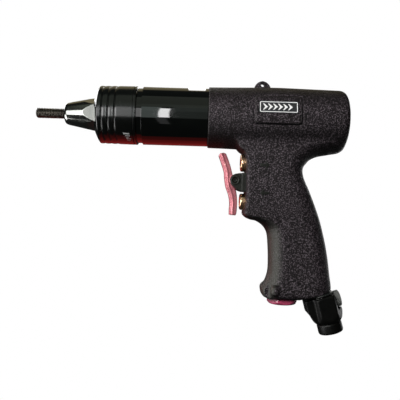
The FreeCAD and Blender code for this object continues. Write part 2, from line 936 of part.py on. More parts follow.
# Rounded lobes that stiffen the lip at the front of the handle's end.
lobe_near = rod("lobe_near", 4.2, 9.0, (164.5, -11.3, "handle_bottom"), Z_DIR)
lobe_far = rod("lobe_far", 4.2, 9.0, (164.5, 11.3, "handle_bottom"), Z_DIR)
housing_outer = fuse("housing_outer", [housing_barrel, handle_body, label_pad, lobe_near, lobe_far])

inlet_turn = math.radians(DIMS["inlet_tilt"])
INLET_DIR = Vector(math.sin(inlet_turn), 0, -math.cos(inlet_turn))
INLET_UP = Vector(-INLET_DIR.x, 0, -INLET_DIR.z)
INLET_SIDE = Vector(math.cos(inlet_turn), 0, math.sin(inlet_turn))
# Local X of a turned inlet part is turned onto the inlet axis.
INLET_ROTATION = FreeCAD.Rotation(Y_DIR, 90 - DIMS["inlet_tilt"])


def inlet_point(s, side=0.0, across=0.0):
    """Point at station s on the inlet axis, moved to the rear and across."""
    s = as_size(s)
    x = D("inlet_x") + s * INLET_DIR.x + side * INLET_SIDE.x
    z = D("inlet_z") + s * INLET_DIR.z + side * INLET_SIDE.z
    return (x, across, z)


face_corner = inlet_point(D("inlet_face") + 30.0, -20.5)
housing_tools = [
    rod("motor_bore_tool", "motor_bore_housing", 84.0, (120.0, 0.0, 0.0), X_DIR),
    rod("spigot_bore_tool", D("spigot_radius") + 0.05, 12.0, (109.4, 0.0, 0.0), X_DIR),
    rod(
        "relief_tool",
        "housing_relief_radius",
        D("housing_relief_rear") - 200.0,
        (200.0, 0.0, 0.0),
        X_DIR,
    ),
    rod(
        "reverse_bore_tool",
        D("reverse_bushing_radius") + 0.05,
        D("valve_bore_end") - 134.0,
        (134.0, 0.0, "reverse_z"),
        X_DIR,
    ),
    rod(
        "forward_bore_tool",
        D("forward_bushing_radius") + 0.05,
        D("valve_bore_end") - 134.0,
        (134.0, 0.0, "forward_z"),
        X_DIR,
    ),
    rod("reverse_passage", PORTS["reverse"][2], 20.0, (PORTS["reverse"][0], 0.0, -36.0), Z_DIR),
    rod("forward_passage", PORTS["forward"][2], 50.0, (*PORTS["forward"][:2], -65.4), Z_DIR),
    rod("forward_cross", 2.6, 10.8, (PORTS["forward"][0], 0.0, "forward_z"), Y_DIR),
    rod("exhaust_passage", PORTS["exhaust"][2], 92.0, (*PORTS["exhaust"][:2], -108.0), Z_DIR),
    rod(
        "exhaust_bore_tool",
        "exhaust_radius",
        D("exhaust_top") - D("handle_bottom") + 2.0,
        ("exhaust_x", 0.0, D("handle_bottom") - 2.0),
        Z_DIR,
    ),
    rod("inlet_thread_tool", D("inlet_bore") + 0.05, 24.0, inlet_point(5.0), INLET_UP),
    rod("inlet_passage", 4.5, 100.0, inlet_point(-15.0), Vector(-0.27, 0, 0.963)),
    rod("valve_supply", 3.2, 34.0, (176.5, 0.0, -68.5), Z_DIR),
    rod("reverse_supply", 3.2, 11.0, (166.5, 0.0, "reverse_z"), X_DIR),
    rod("forward_supply", 3.2, 24.0, (166.5, 0.0, "forward_z"), X_DIR),
    block(
        "inlet_face_tool",
        (60.0, 50.0, 30.0),
        (face_corner[0], -25.0, face_corner[2]),
        FreeCAD.Rotation(Y_DIR, -DIMS["inlet_tilt"]),
    ),
    block(
        "eye_slot_tool",
        (D("eye_half_base") * 2.0 + 0.1, D("eye_half_thickness") * 2.0 + 0.1, 12.0),
        (D("eye_x") - D("eye_half_base") - 0.05, D("eye_half_thickness") * -1.0 - 0.05, 21.9),
    ),
    block(
        "bracket_slot_tool",
        (12.1, D("ear_outer") * 2.0 + 0.1, 15.2),
        (134.0, D("ear_outer") * -1.0 - 0.05, -57.75),
    ),
]
keep(cut("pistol_housing", housing_outer, housing_tools))

eye_blank = slab(
    "eye_blank",
    [
        (D("eye_x") - D("eye_half_base"), 22.0),
        (D("eye_x") + D("eye_half_base"), 22.0),
        (D("eye_x") + D("eye_half_base"), 24.8),
        (D("eye_x") + 4.6, 26.0),
        (D("eye_x") + 3.0, 28.2),
        (D("eye_x") + 1.6, D("eye_apex") - 0.4),
        ("eye_x", "eye_apex"),
        (D("eye_x") - 1.6, D("eye_apex") - 0.4),
        (D("eye_x") - 3.0, 28.2),
        (D("eye_x") - 4.6, 26.0),
        (D("eye_x") - D("eye_half_base"), 24.8),
    ],
    "eye_half_thickness",
)
eye_hole = rod("eye_hole_tool", "eye_hole_radius", 12.0, ("eye_x", -6.0, "eye_hole_height"), Y_DIR)
keep(cut("hanging_eye", eye_blank, [eye_hole]))

label_shell = turned(
    "label_shell",
    [
        (140.0, D("pad_surface_radius") + 0.01),
        (190.0, D("pad_surface_radius") + 0.01),
        (190.0, D("pad_surface_radius") + 0.01 + D("label_thickness")),
        (140.0, D("pad_surface_radius") + 0.01 + D("label_thickness")),
    ],
)
label_window = block(
    "label_window",
    ("label_length", 10.0, "label_height"),
    (
        D("pad_centre_x") - D("label_length") * 0.5,
        -30.0,
        D("label_centre_z") - D("label_height") * 0.5,
    ),
)
keep(common("label_plate", label_shell, label_window))

# ---------------------------------------------------------------- trigger group

trigger_bar = slab(
    "trigger_bar",
    [
        (121.2, -28.8),
        (125.0, -27.2),
        (127.4, -28.4),
        (130.4, -35.5),
        (132.6, -43.0),
        (134.6, -52.0),
        (136.6, -58.5),
        (137.1, -66.0),
        (136.8, -74.5),
        (135.7, -76.4),
        (132.2, -76.4),
        (130.8, -75.2),
        (131.1, -66.4),
        (130.0, -60.0),
        (127.6, -54.5),
        (126.6, -48.0),
        (126.0, -42.0),
        (123.2, -34.6),
    ],
    "trigger_half_width",
)
trigger_hub = rod(
    "trigger_hub",
    3.9,
    D("trigger_half_width") * 2.0,
    ("pivot_x", D("trigger_half_width") * -1.0, "pivot_z"),
    Y_DIR,
)
trigger_blank = fuse("trigger_blank", [trigger_bar, trigger_hub])
trigger_bore = rod("trigger_bore", D("pivot_pin_radius") + 0.05, 20.0, ("pivot_x", -10.0, "pivot_z"), Y_DIR)
keep(cut("trigger", trigger_blank, [trigger_bore]))

bracket_outline = slab(
    "bracket_outline",
    [
        (146.0, -57.7),
        (139.2, -57.7),
        (136.8, -56.8),
        (134.6, -54.6),
        (132.3, -53.3),
        (130.9, -51.4),
        (130.3, -48.9),
        (130.8, -46.5),
        (132.3, -44.6),
        (134.6, -43.5),
        (138.0, -42.9),
        (146.0, -42.6),
    ],
    "ear_outer",
)
bracket_gap = block("bracket_gap", (11.0, D("ear_gap") * 2.0, 22.0), (129.0, D("ear_gap") * -1.0, -60.0))
bracket_bore = rod("bracket_bore", D("pivot_pin_radius") + 0.02, 20.0, ("pivot_x", -10.0, "pivot_z"), Y_DIR)
keep(cut("trigger_bracket", bracket_outline, [bracket_gap, bracket_bore]))
keep(
    rod(
        "trigger_pin",
        "pivot_pin_radius",
        D("ear_outer") * 2.0 + 0.4,
        ("pivot_x", D("ear_outer") * -1.0 - 0.2, "pivot_z"),
        Y_DIR,
    )
)


def valve(name, radius, height):
    """Brass bushing, plunger and return spring of one valve."""
    radius = as_size(radius)
    groove = 147.0
    bushing = turned(
        name + "_bushing",
        [
            ("valve_face", D("plunger_radius") + D("plunger_fit") + 0.6),
            ("valve_face", radius - 0.6),
            (D("valve_face") + 0.6, radius),
            (groove, radius),
            (groove, radius - 1.3),
            (groove + 1.9, radius - 1.3),
            (groove + 1.9, radius),
            ("bushing_rear", radius),
            ("bushing_rear", D("poppet_radius") + 0.3),
            ("valve_seat", D("poppet_radius") + 0.3),
            ("valve_seat", D("plunger_radius") + D("plunger_fit")),
            (D("valve_face") + 0.7, D("plunger_radius") + D("plunger_fit")),
        ],
    )
    keep(pose(bushing, (0.0, 0.0, height)))
    plunger = turned(
        name + "_plunger",
        [
            ("plunger_front", 0.0),
            ("plunger_front", D("plunger_radius") - 0.5),
            (D("plunger_front") + 0.5, "plunger_radius"),
            ("poppet_front", "plunger_radius"),
            ("poppet_front", "poppet_radius"),
            ("poppet_rear", "poppet_radius"),
            ("poppet_rear", 2.0),
            (D("poppet_rear") + 2.0, 2.0),
            (D("poppet_rear") + 2.0, 0.0),
        ],
    )
    keep(pose(plunger, (0.0, 0.0, height)))
    ring_body = doc.addObject("Part::Torus", name + "_o_ring")
    bind(ring_body, "Radius1", radius - 0.62)
    bind(ring_body, "Radius2", 0.6)
    pose(ring_body, (groove + 0.95, 0.0, height), FreeCAD.Rotation(Z_DIR, X_DIR))
    start = cell("poppet_rear") + 0.5
    wire = cell("spring_wire")
    length = cell("valve_bore_end") - start - 2 * wire - 0.1
    turns = 5.0
    helix = Part.makeHelix(length / turns, length, cell("spring_radius"))
    section = Part.makeCircle(wire, Vector(cell("spring_radius"), 0, 0), Y_DIR)
    coil = Part.Wire(helix).makePipeShell([Part.Wire(section)], True, True)
    at = (D("poppet_rear") + 0.55, 0.0, height)
    keep(written(name + "_spring", coil, at, FreeCAD.Rotation(Z_DIR, X_DIR)))
    return ring_body


o_rings = [
    valve("reverse", "reverse_bushing_radius", "reverse_z"),
    valve("forward", "forward_bushing_radius", "forward_z"),
]
o_ring_group = doc.addObject("Part::Compound", "valve_o_rings")
o_ring_group.Links = o_rings
o_ring_group.Label = "valve_o_rings"
keep(o_ring_group)

# ---------------------------------------------------------------- exhaust

cap_turned = turned(
    "cap_turned",
    [
        (140.05, 0.0),
        (140.05, "cap_corner_radius"),
        (142.6, "cap_corner_radius"),
        (144.5, D("cap_corner_radius") - 1.8),
        (144.5, 0.0),
    ],
)
pose(cap_turned, ("exhaust_x", 0.0, 0.0), FreeCAD.Rotation(Y_DIR, 90))
cap_hexagon_body = new_body("cap_hexagon")
cap_sketch = sketch_on(cap_hexagon_body, "cap_hexagon_outline", "XY_Plane", ("exhaust_x", 0.0, -146.0))
add_polygon(cap_sketch, hexagon(D("cap_corner_radius") * 1.76, 30.0))
cap_pad = cap_hexagon_body.newObject("PartDesign::Pad", "cap_hexagon_pad")
cap_pad.Profile = cap_sketch
cap_pad.Length = 8
cap_hexagon_body.Tip = cap_pad
cap_head = common("cap_head", cap_turned, cap_hexagon_body)
cap_spigot = rod("cap_spigot", D("exhaust_radius") - 0.05, 8.05, ("exhaust_x", 0.0, -140.1), Z_DIR)
cap_blank = fuse("cap_blank", [cap_head, cap_spigot])
cap_tools = []
for i in range(6):
    angle = math.radians(60 * i)
    at = (D("exhaust_x") + 5.0 * math.cos(angle), 5.0 * math.sin(angle), -146.0)
    cap_tools.append(rod("cap_vent_%d" % i, 1.1, 16.0, at, Z_DIR))
cap_tools.append(rod("cap_cup", 7.0, 6.5, ("exhaust_x", 0.0, -138.4), Z_DIR))
keep(cut("exhaust_cap", cap_blank, cap_tools))
silencer = turned(
    "silencer",
    [
        (131.8, 5.0),
        (131.8, 9.2),
        (105.0, 9.2),
        (105.0, 0.0),
        (108.0, 0.0),
        (108.0, 5.0),
    ],
)
keep(pose(silencer, ("exhaust_x", 0.0, 0.0), FreeCAD.Rotation(Y_DIR, 90)))

# ---------------------------------------------------------------- air inlet


def on_inlet(body):
    """Moves a part turned about local X onto the inlet axis."""
    return pose(body, ("inlet_x", 0.0, "inlet_z"), INLET_ROTATION)


keep(
    on_inlet(
        turned(
            "inlet_bushing",
            [
                (-18.0, 4.0),
                (-18.0, "inlet_bore"),
                (-3.2, "inlet_bore"),
                (-3.2, 8.2),
                (-1.6, 8.2),
                (-1.6, "inlet_shank"),
                (12.4, "inlet_shank"),
                (12.4, 5.2),
                (13.7, 5.2),
                (13.7, "inlet_shank"),
                (14.8, "inlet_shank"),
                (14.8, 4.0),
            ],
        )
    )
)
keep(
    on_inlet(
        turned(
            "inlet_filter",
            [(-17.5, 0.0), (-17.5, 3.9), (-8.0, 3.9), (-8.0, 3.2), (-16.5, 3.2), (-16.5, 0.0)],
        )
    )
)
keep(on_inlet(ring("inlet_circlip", 12.5, 13.6, 5.3, 7.6)))

swivel_hexagon = hex_bar("swivel_hexagon", "swivel_flats", "swivel_top", "swivel_bottom", 30.0)
swivel_envelope = turned(
    "swivel_envelope",
    [
        ("swivel_top", 0.0),
        ("swivel_top", 11.6),
        (0.2, 13.2),
        (13.5, 13.2),
        ("swivel_bottom", 9.6),
        ("swivel_bottom", 0.0),
    ],
)
swivel_core = common("swivel_core", swivel_hexagon, swivel_envelope)
# Shoulder on the front side of the swivel, tapering towards the hose end.
swivel_shoulder = slab(
    "swivel_shoulder",
    [
        ("swivel_top", 0.0),
        ("swivel_top", -15.2),
        (6.5, -15.2),
        (17.5, -8.6),
        (19.0, 0.0),
    ],
    7.5,
)
swivel_blank = fuse("swivel_blank", [swivel_core, swivel_shoulder])
swivel_tools = [
    rod("swivel_bore", D("inlet_shank") + 0.05, 24.0, (-3.0, 0.0, 0.0), X_DIR),
    rod("swivel_chamber", 8.3, 12.0, (11.0, 0.0, 0.0), X_DIR),
]
# The rear corner of the hexagon is milled flat to make room for the flow knob.
KNOB_LOCAL = Vector(0, 0, 1)
swivel_tools.append(
    block(
        "knob_pocket",
        (D("knob_station") + D("knob_radius") + 3.0, 32.0, 10.0),
        (-2.6, -16.0, "knob_seat"),
    )
)
swivel_tools.append(rod("knob_stem_bore", 2.05, 8.0, ("knob_station", 0.0, 6.35), KNOB_LOCAL))
keep(on_inlet(cut("swivel_body", swivel_blank, swivel_tools)))
keep(
    on_inlet(
        turned(
            "hose_socket",
            [
                (15.2, 7.0),
                (15.2, 8.25),
                (20.1, 8.25),
                (20.1, 9.0),
                (20.9, "socket_radius"),
                (D("socket_end") - 0.6, "socket_radius"),
                ("socket_end", D("socket_radius") - 0.6),
                ("socket_end", "socket_thread_radius"),
                (17.2, "socket_thread_radius"),
                (17.2, 7.0),
            ],
        )
    )
)
knob_turned = turned(
    "regulator_knob",
    [
        (-1.6, 0.0),
        (-1.6, 2.0),
        (0.25, 2.0),
        (0.25, "knob_radius"),
        (D("knob_thickness") + 0.25, "knob_radius"),
        (D("knob_thickness") + 0.25, 0.0),
    ],
)
knob_axis = INLET_ROTATION.multVec(KNOB_LOCAL)
knob_at = inlet_point("knob_station")
reach = DIMS["knob_seat"]
pose(
    knob_turned,
    (
        knob_at[0] + knob_axis.x * reach,
        knob_axis.y * reach,
        knob_at[2] + knob_axis.z * reach,
    ),
    FreeCAD.Rotation(X_DIR, knob_axis),
)
keep(knob_turned)

keep(rod("locating_pin", "locating_pin_radius", 5.0, LOCATING_PIN, X_DIR))

# ---------------------------------------------------------------- checks and export

doc.recompute()
for obj in doc.Objects:
    if "Invalid" in obj.State or "Error" in obj.State:
        raise RuntimeError("%s: %s" % (obj.Label, obj.State))
for label, obj in parts.items():
    shape = obj.Shape
    if shape.isNull() or not shape.isValid() or shape.Volume <= 0:
        raise RuntimeError("bad shape: " + label)
    shape.exportStep("parts/%s.step" % label)
    print("%-24s %10.1f mm3  solids %d" % (label, shape.Volume, len(shape.Solids)))
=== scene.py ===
import json
import math

import bmesh
import bpy
import numpy as np
from mathutils import Matrix, Vector


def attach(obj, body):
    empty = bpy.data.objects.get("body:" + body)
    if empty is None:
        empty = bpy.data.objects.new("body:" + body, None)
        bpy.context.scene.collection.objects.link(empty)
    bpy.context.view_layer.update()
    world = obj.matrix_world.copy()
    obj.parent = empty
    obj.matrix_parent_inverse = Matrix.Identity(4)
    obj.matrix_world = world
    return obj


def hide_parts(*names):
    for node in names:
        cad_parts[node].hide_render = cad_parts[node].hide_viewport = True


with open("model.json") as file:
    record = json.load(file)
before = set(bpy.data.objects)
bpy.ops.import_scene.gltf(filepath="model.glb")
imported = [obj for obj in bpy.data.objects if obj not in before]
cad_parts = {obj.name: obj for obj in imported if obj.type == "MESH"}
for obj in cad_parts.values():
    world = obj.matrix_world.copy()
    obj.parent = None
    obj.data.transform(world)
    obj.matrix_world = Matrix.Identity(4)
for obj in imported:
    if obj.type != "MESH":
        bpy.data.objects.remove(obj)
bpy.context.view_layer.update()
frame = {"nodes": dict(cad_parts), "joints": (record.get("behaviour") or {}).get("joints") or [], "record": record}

MM = 0.001
WELD_DISTANCE = 2e-6
SHORTEST_EDGE = 1e-6

JOINTS = {joint["name"]: joint for joint in frame["joints"]}


def joint_point(name):
    """A point on a joint's axis, in millimetres."""
    return [round(value / MM, 4) for value in JOINTS[name]["pos_m"]]


# ---- mesh helpers


def mesh_object(name, vertices, faces, sharp=35.0):
    """An object from points in millimetres, smooth apart from edges sharper than an angle."""
    mesh = bpy.data.meshes.new(name)
    points = np.asarray(vertices, dtype=float) * MM
    mesh.from_pydata([tuple(p) for p in points], [], [tuple(int(i) for i in f) for f in faces])
    build = bmesh.new()
    build.from_mesh(mesh)
    bmesh.ops.remove_doubles(build, verts=build.verts, dist=WELD_DISTANCE)
    bmesh.ops.dissolve_degenerate(build, edges=build.edges, dist=SHORTEST_EDGE)
    bmesh.ops.recalc_face_normals(build, faces=build.faces)
    limit = math.radians(sharp)
    for face in build.faces:
        face.smooth = True
    for edge in build.edges:
        if len(edge.link_faces) == 2:
            edge.smooth = edge.calc_face_angle(0.0) < limit
    build.to_mesh(mesh)
    build.free()
    obj = bpy.data.objects.new(name, mesh)
    bpy.context.scene.collection.objects.link(obj)
    return obj


def grid_faces(rows, columns):
    """Quads over a grid of rows by columns, with the last column joined to the first."""
    quads = []
    for i in range(rows - 1):
        for j in range(columns):
            a = i * columns + j
            b = i * columns + (j + 1) % columns
            quads.append((a, b, b + columns, a + columns))
    return quads


LARGEST_SHARE = 0.45


def rounded_profile(profile, steps):
    """An (x, r) outline with a round corner wherever a point carries a radius as a third value.

    No rounding takes more than a set share of the sides next to it."""
    count = len(profile)
    result = []
    for i in range(count):
        here = np.array(profile[i][:2], dtype=float)
        own = profile[i][2] if len(profile[i]) > 2 else 0.0
        before = np.array(profile[i - 1][:2], dtype=float)
        after = np.array(profile[(i + 1) % count][:2], dtype=float)
        to_before = before - here
        to_after = after - here
        len_before = np.linalg.norm(to_before)
        len_after = np.linalg.norm(to_after)
        if own <= 0 or len_before < 1e-6 or len_after < 1e-6:
            result.append(tuple(here))
            continue
        reach = min(own, LARGEST_SHARE * len_before, LARGEST_SHARE * len_after)
        start = here + to_before / len_before * reach
        end = here + to_after / len_after * reach
        for k in range(steps + 1):
            t = k / steps
            point = (1 - t) ** 2 * start + 2 * t * (1 - t) * here + t**2 * end
            result.append(tuple(point))
    return result


def lathe(name, profile, segments, steps=3, sharp=30.0, shape=None):
    """A closed outline of (x, r) turned about X. shape(x, r, angle) may change each radius."""
    outline = rounded_profile(profile, steps)
    rows = len(outline)
    vertices = []
    for x, r in outline:
        for j in range(segments):
            angle = 2 * math.pi * j / segments
            local = max(r, 0.0) if shape is None else shape(x, r, angle)
            vertices.append((x, local * math.cos(angle), local * math.sin(angle)))
    faces = grid_faces(rows, segments)
    for j in range(segments):
        k = (j + 1) % segments
        faces.append(((rows - 1) * segments + j, (rows - 1) * segments + k, k, j))
    return mesh_object(name, vertices, faces, sharp)


def move_mesh(obj, matrix):
    obj.data.transform(matrix)
    obj.data.update()


# ---- solids as distance fields

MARGIN_CELLS = 2.5
POLISH_ROUNDS = 2
FAR = 1e9


def surface_net(field, low, high, step):
    """Quad mesh of the zero level of a distance field over a box, in millimetres."""
    low = np.asarray(low, dtype=float) - MARGIN_CELLS * step
    counts = np.ceil((np.asarray(high) + MARGIN_CELLS * step - low) / step).astype(int) + 1
    axes = [low[i] + step * np.arange(counts[i]) for i in range(3)]
    values = np.empty(counts)
    for i, x in enumerate(axes[0]):
        y, z = np.meshgrid(axes[1], axes[2], indexing="ij")
        points = np.stack([np.full_like(y, x), y, z], axis=-1).reshape(-1, 3)
        values[i] = field(points).reshape(counts[1], counts[2])
    inside = values < 0
    corners = [(i, j, k) for i in (0, 1) for j in (0, 1) for k in (0, 1)]
    shape = tuple(c - 1 for c in counts)

    def corner(array, c):
        return array[c[0] : c[0] + shape[0], c[1] : c[1] + shape[1], c[2] : c[2] + shape[2]]

    filled = sum(corner(inside, c).astype(int) for c in corners)
    active = (filled > 0) & (filled < 8)
    index = -np.ones(shape, dtype=int)
    index[active] = np.arange(active.sum())
    total = np.zeros((active.sum(), 3))
    crossings = np.zeros(active.sum())
    for a in corners:
        for axis in range(3):
            if a[axis]:
                continue
            b = tuple(1 if i == axis else a[i] for i in range(3))
            va, vb = corner(values, a)[active], corner(values, b)[active]
            crossed = (va < 0) != (vb < 0)
            t = np.where(crossed, va / np.where(crossed, va - vb, 1.0), 0.0)
            point = np.tile(np.array(a, dtype=float), (len(t), 1))
            point[:, axis] += t
            total += point * crossed[:, None]
            crossings += crossed
    cells = np.argwhere(active)
    points = low + step * (cells + total / crossings[:, None])
    faces = []
    for axis in range(3):
        u, v = (axis + 1) % 3, (axis + 2) % 3
        lower = [slice(None)] * 3
        upper = [slice(None)] * 3
        lower[axis], upper[axis] = slice(0, -1), slice(1, None)
        first, second = inside[tuple(lower)], inside[tuple(upper)]
        for flip, mask in ((False, first & ~second), (True, ~first & second)):
            edges = np.argwhere(mask)
            edges = edges[(edges[:, u] > 0) & (edges[:, v] > 0)]
            edges = edges[(edges[:, u] < shape[u]) & (edges[:, v] < shape[v])]
            quad = []
            for du, dv in ((1, 1), (0, 1), (0, 0), (1, 0)):
                cell = edges.copy()
                cell[:, u] -= du
                cell[:, v] -= dv
                quad.append(index[cell[:, 0], cell[:, 1], cell[:, 2]])
            quad = np.stack(quad, axis=1)
            if flip:
                quad = quad[:, ::-1]
            faces.append(quad)
    faces = np.concatenate(faces)
    faces = faces[(faces >= 0).all(axis=1)]
    return settled(field, points, step), faces


def settled(field, points, step):
    """Moves points along the slope of a distance field until they lie on its zero level."""
    delta = 0.05 * step
    longest_shift = 0.5 * step
    smallest_slope = 0.05
    for _ in range(POLISH_ROUNDS):
        here = field(points)
        slope = np.stack(
            [
                (field(points + delta * axis) - field(points - delta * axis)) / (2 * delta)
                for axis in np.eye(3)
            ],
            axis=1,
        )
        size = np.maximum((slope**2).sum(axis=1), smallest_slope)
        shift = -here[:, None] * slope / size[:, None]
        length = np.linalg.norm(shift, axis=1, keepdims=True)
        shift *= np.minimum(1.0, longest_shift / np.maximum(length, 1e-9))
        points = points + shift
    return points


def field_object(name, field, low, high, step, sharp=50.0):
    points, faces = surface_net(field, low, high, step)
    return mesh_object(name, points, faces, sharp)


def smooth_min(a, b, k):
    h = np.clip(0.5 + 0.5 * (b - a) / k, 0.0, 1.0)
    return b + (a - b) * h - k * h * (1.0 - h)


def smooth_max(a, b, k):
    return -smooth_min(-a, -b, k)


def smooth_step(t):
    t = np.clip(t, 0.0, 1.0)
    return t * t * (3 - 2 * t)


def rounded_join(a, b, rounding):
    """Where two distances meet, with a round edge. Both are given with the rounding added."""
    outside = np.hypot(np.maximum(a, 0), np.maximum(b, 0))
    return outside + np.minimum(np.maximum(a, b), 0) - rounding


def rounded_box_2d(x, y, half_x, half_y, corner):
    return rounded_join(np.abs(x) - half_x + corner, np.abs(y) - half_y + corner, corner)


def capsule(p, a, b, radius):
    a, b = np.asarray(a, dtype=float), np.asarray(b, dtype=float)
    pa, ba = p - a, b - a
    t = np.clip((pa @ ba) / (ba @ ba), 0, 1)
    return np.linalg.norm(pa - t[:, None] * ba, axis=1) - radius


def cylinder_along(p, axis, centre, radius, start, end):
    """Distance to a cylinder along one main axis."""
    others = [i for i in range(3) if i != axis]
    radial = np.hypot(p[:, others[0]] - centre[0], p[:, others[1]] - centre[1]) - radius
    along = np.maximum(start - p[:, axis], p[:, axis] - end)
    return np.maximum(radial, along)


def hexagon_distance(x, y, half_flats, turn=0.0):
    """Distance to a hexagon, with its first pair of flats turned by some degrees."""
    flats = np.full(x.shape, -FAR)
    for k in range(3):
        angle = math.radians(turn + 60 * k)
        flats = np.maximum(flats, np.abs(x * math.cos(angle) + y * math.sin(angle)) - half_flats)
    return flats


def polygon_distance(x, y, corners):
    """Signed distance to a closed polygon, negative inside."""
    corners = np.asarray(corners, dtype=float)
    best = np.full(x.shape, FAR)
    sign = np.ones(x.shape)
    count = len(corners)
    for i in range(count):
        a, b = corners[i], corners[i - 1]
        edge = b - a
        wx, wy = x - a[0], y - a[1]
        t = np.clip((wx * edge[0] + wy * edge[1]) / (edge @ edge), 0, 1)
        best = np.minimum(best, (wx - edge[0] * t) ** 2 + (wy - edge[1] * t) ** 2)
        c1, c2 = y >= a[1], y < b[1]
        c3 = edge[0] * wy > edge[1] * wx
        flip = (c1 & c2 & c3) | (~c1 & ~c2 & ~c3)
        sign = np.where(flip, -sign, sign)
    return sign * np.sqrt(best)


def rounded_slab(p, corners, half_width, rounding):
    """A side outline in X and Z, solid across Y, with rounded rims."""
    flat = polygon_distance(p[:, 0], p[:, 2], corners) + rounding
    across = np.abs(p[:, 1]) - half_width + rounding
    return rounded_join(flat, across, rounding)


def spline(knots, values, at):
    """Smooth curve through a few stations, held at its end values beyond them."""
    knots = np.asarray(knots, dtype=float)
    values = np.asarray(values, dtype=float)
    at = np.clip(at, knots[0], knots[-1])
    slopes = np.gradient(values, knots)
    i = np.clip(np.searchsorted(knots, at) - 1, 0, len(knots) - 2)
    width = knots[i + 1] - knots[i]
    t = (at - knots[i]) / width
    t2, t3 = t * t, t * t * t
    return (
        (2 * t3 - 3 * t2 + 1) * values[i]
        + (t3 - 2 * t2 + t) * width * slopes[i]
        + (3 * t2 - 2 * t3) * values[i + 1]
        + (t3 - t2) * width * slopes[i + 1]
    )


# ---- materials

MATERIALS = {}


class Nodes:
    """Short way to build a node material, which is kept in MATERIALS under its name."""

    def __init__(self, name, base, rough, metal=0.0, ior=1.5):
        material = bpy.data.materials.new(name)
        material.use_nodes = True
        MATERIALS[name] = material
        self.tree = material.node_tree
        self.shader = self.tree.nodes["Principled BSDF"]
        for socket, value in (("Base Color", base), ("Roughness", rough), ("Metallic", metal), ("IOR", ior)):
            self.put(self.shader.inputs[socket], value)
        self.place = self.node("TexCoord").outputs["Object"]

    def put(self, socket, value):
        """Sets an input to a number or a colour, or links it to an output."""
        if isinstance(value, bpy.types.NodeSocket):
            self.tree.links.new(value, socket)
        else:
            socket.default_value = (*value, 1.0) if socket.type == "RGBA" else value

    def node(self, kind, *values, **named):
        """A new node with values for its first inputs or for inputs called by name."""
        node = self.tree.nodes.new("ShaderNode" + kind)
        for socket, value in list(enumerate(values)) + list(named.items()):
            self.put(node.inputs[socket], value)
        return node

    def stretched(self, scale):
        """Object coordinates stretched along the axes."""
        return self.node("Mapping", Vector=self.place, Scale=scale).outputs["Vector"]

    def noise(self, scale, detail=4.0, rough=0.55, vector=None):
        where = vector or self.place
        node = self.node("TexNoise", Vector=where, Scale=scale, Detail=detail, Roughness=rough)
        return node.outputs["Fac"]

    def cells(self, scale):
        return self.node("TexVoronoi", Vector=self.place, Scale=scale).outputs["Distance"]

    def remap(self, source, low, high, to_low, to_high):
        return self.node("MapRange", source, low, high, to_low, to_high).outputs["Result"]

    def share(self, source, low, high):
        """Runs from 0 to 1 as the source goes from one value to the other."""
        return self.remap(source, low, high, 0.0, 1.0)

    def cloud(self, scale, detail, rough):
        """Soft patches between 0 and 1."""
        return self.share(self.noise(scale, detail, rough), 0.35, 0.7)

    def math(self, operation, *values):
        node = self.node("Math", *values)
        node.operation = operation
        return node.outputs["Value"]

    def times(self, a, b):
        return self.math("MULTIPLY", a, b)

    def mix(self, factor, first, second):
        """Blend of two colours, each three numbers or the output of a node."""
        node = self.node("Mix")
        node.data_type = "RGBA"
        for socket, value in ((0, factor), (6, first), (7, second)):
            self.put(node.inputs[socket], value)
        return node.outputs[2]

    def color(self, source):
        self.put(self.shader.inputs["Base Color"], source)

    def roughness(self, source):
        self.put(self.shader.inputs["Roughness"], source)

    def bump(self, source, strength, distance):
        node = self.node("Bump", Strength=strength, Distance=distance, Height=source)
        self.put(self.shader.inputs["Normal"], node.outputs["Normal"])

    def axis(self, which, vector=None):
        return self.node("SeparateXYZ", vector or self.place).outputs[which]

    def normal(self, which):
        return self.axis(which, self.node("NewGeometry").outputs["Normal"])

    def edge_wear(self, low=0.52, high=0.62):
        """Rises from 0 to 1 where the surface turns convex."""
        return self.share(self.node("NewGeometry").outputs["Pointiness"], low, high)


def metal(name, base, rough, grain=1200.0, lines=(1, 1, 1), scuff=0.06, bump=0.1, dark=None):
    """Machined metal: fine turning marks, small scuffs and a little tone variation."""
    m = Nodes(name, base, rough, 1.0)
    marks = m.noise(grain, 3.0, 0.6, m.stretched(lines))
    patches = m.noise(60.0, 5.0, 0.6)
    deeper = dark or tuple(0.6 * c for c in base)
    m.color(m.mix(m.share(patches, 0.35, 0.7), base, deeper))
    rough_marks = m.remap(marks, 0.3, 0.7, max(rough - scuff, 0.04), rough + scuff)
    m.roughness(m.math("ADD", rough_marks, m.remap(patches, 0.3, 0.75, -0.04, 0.07)))
    m.bump(marks, bump, 0.00004)


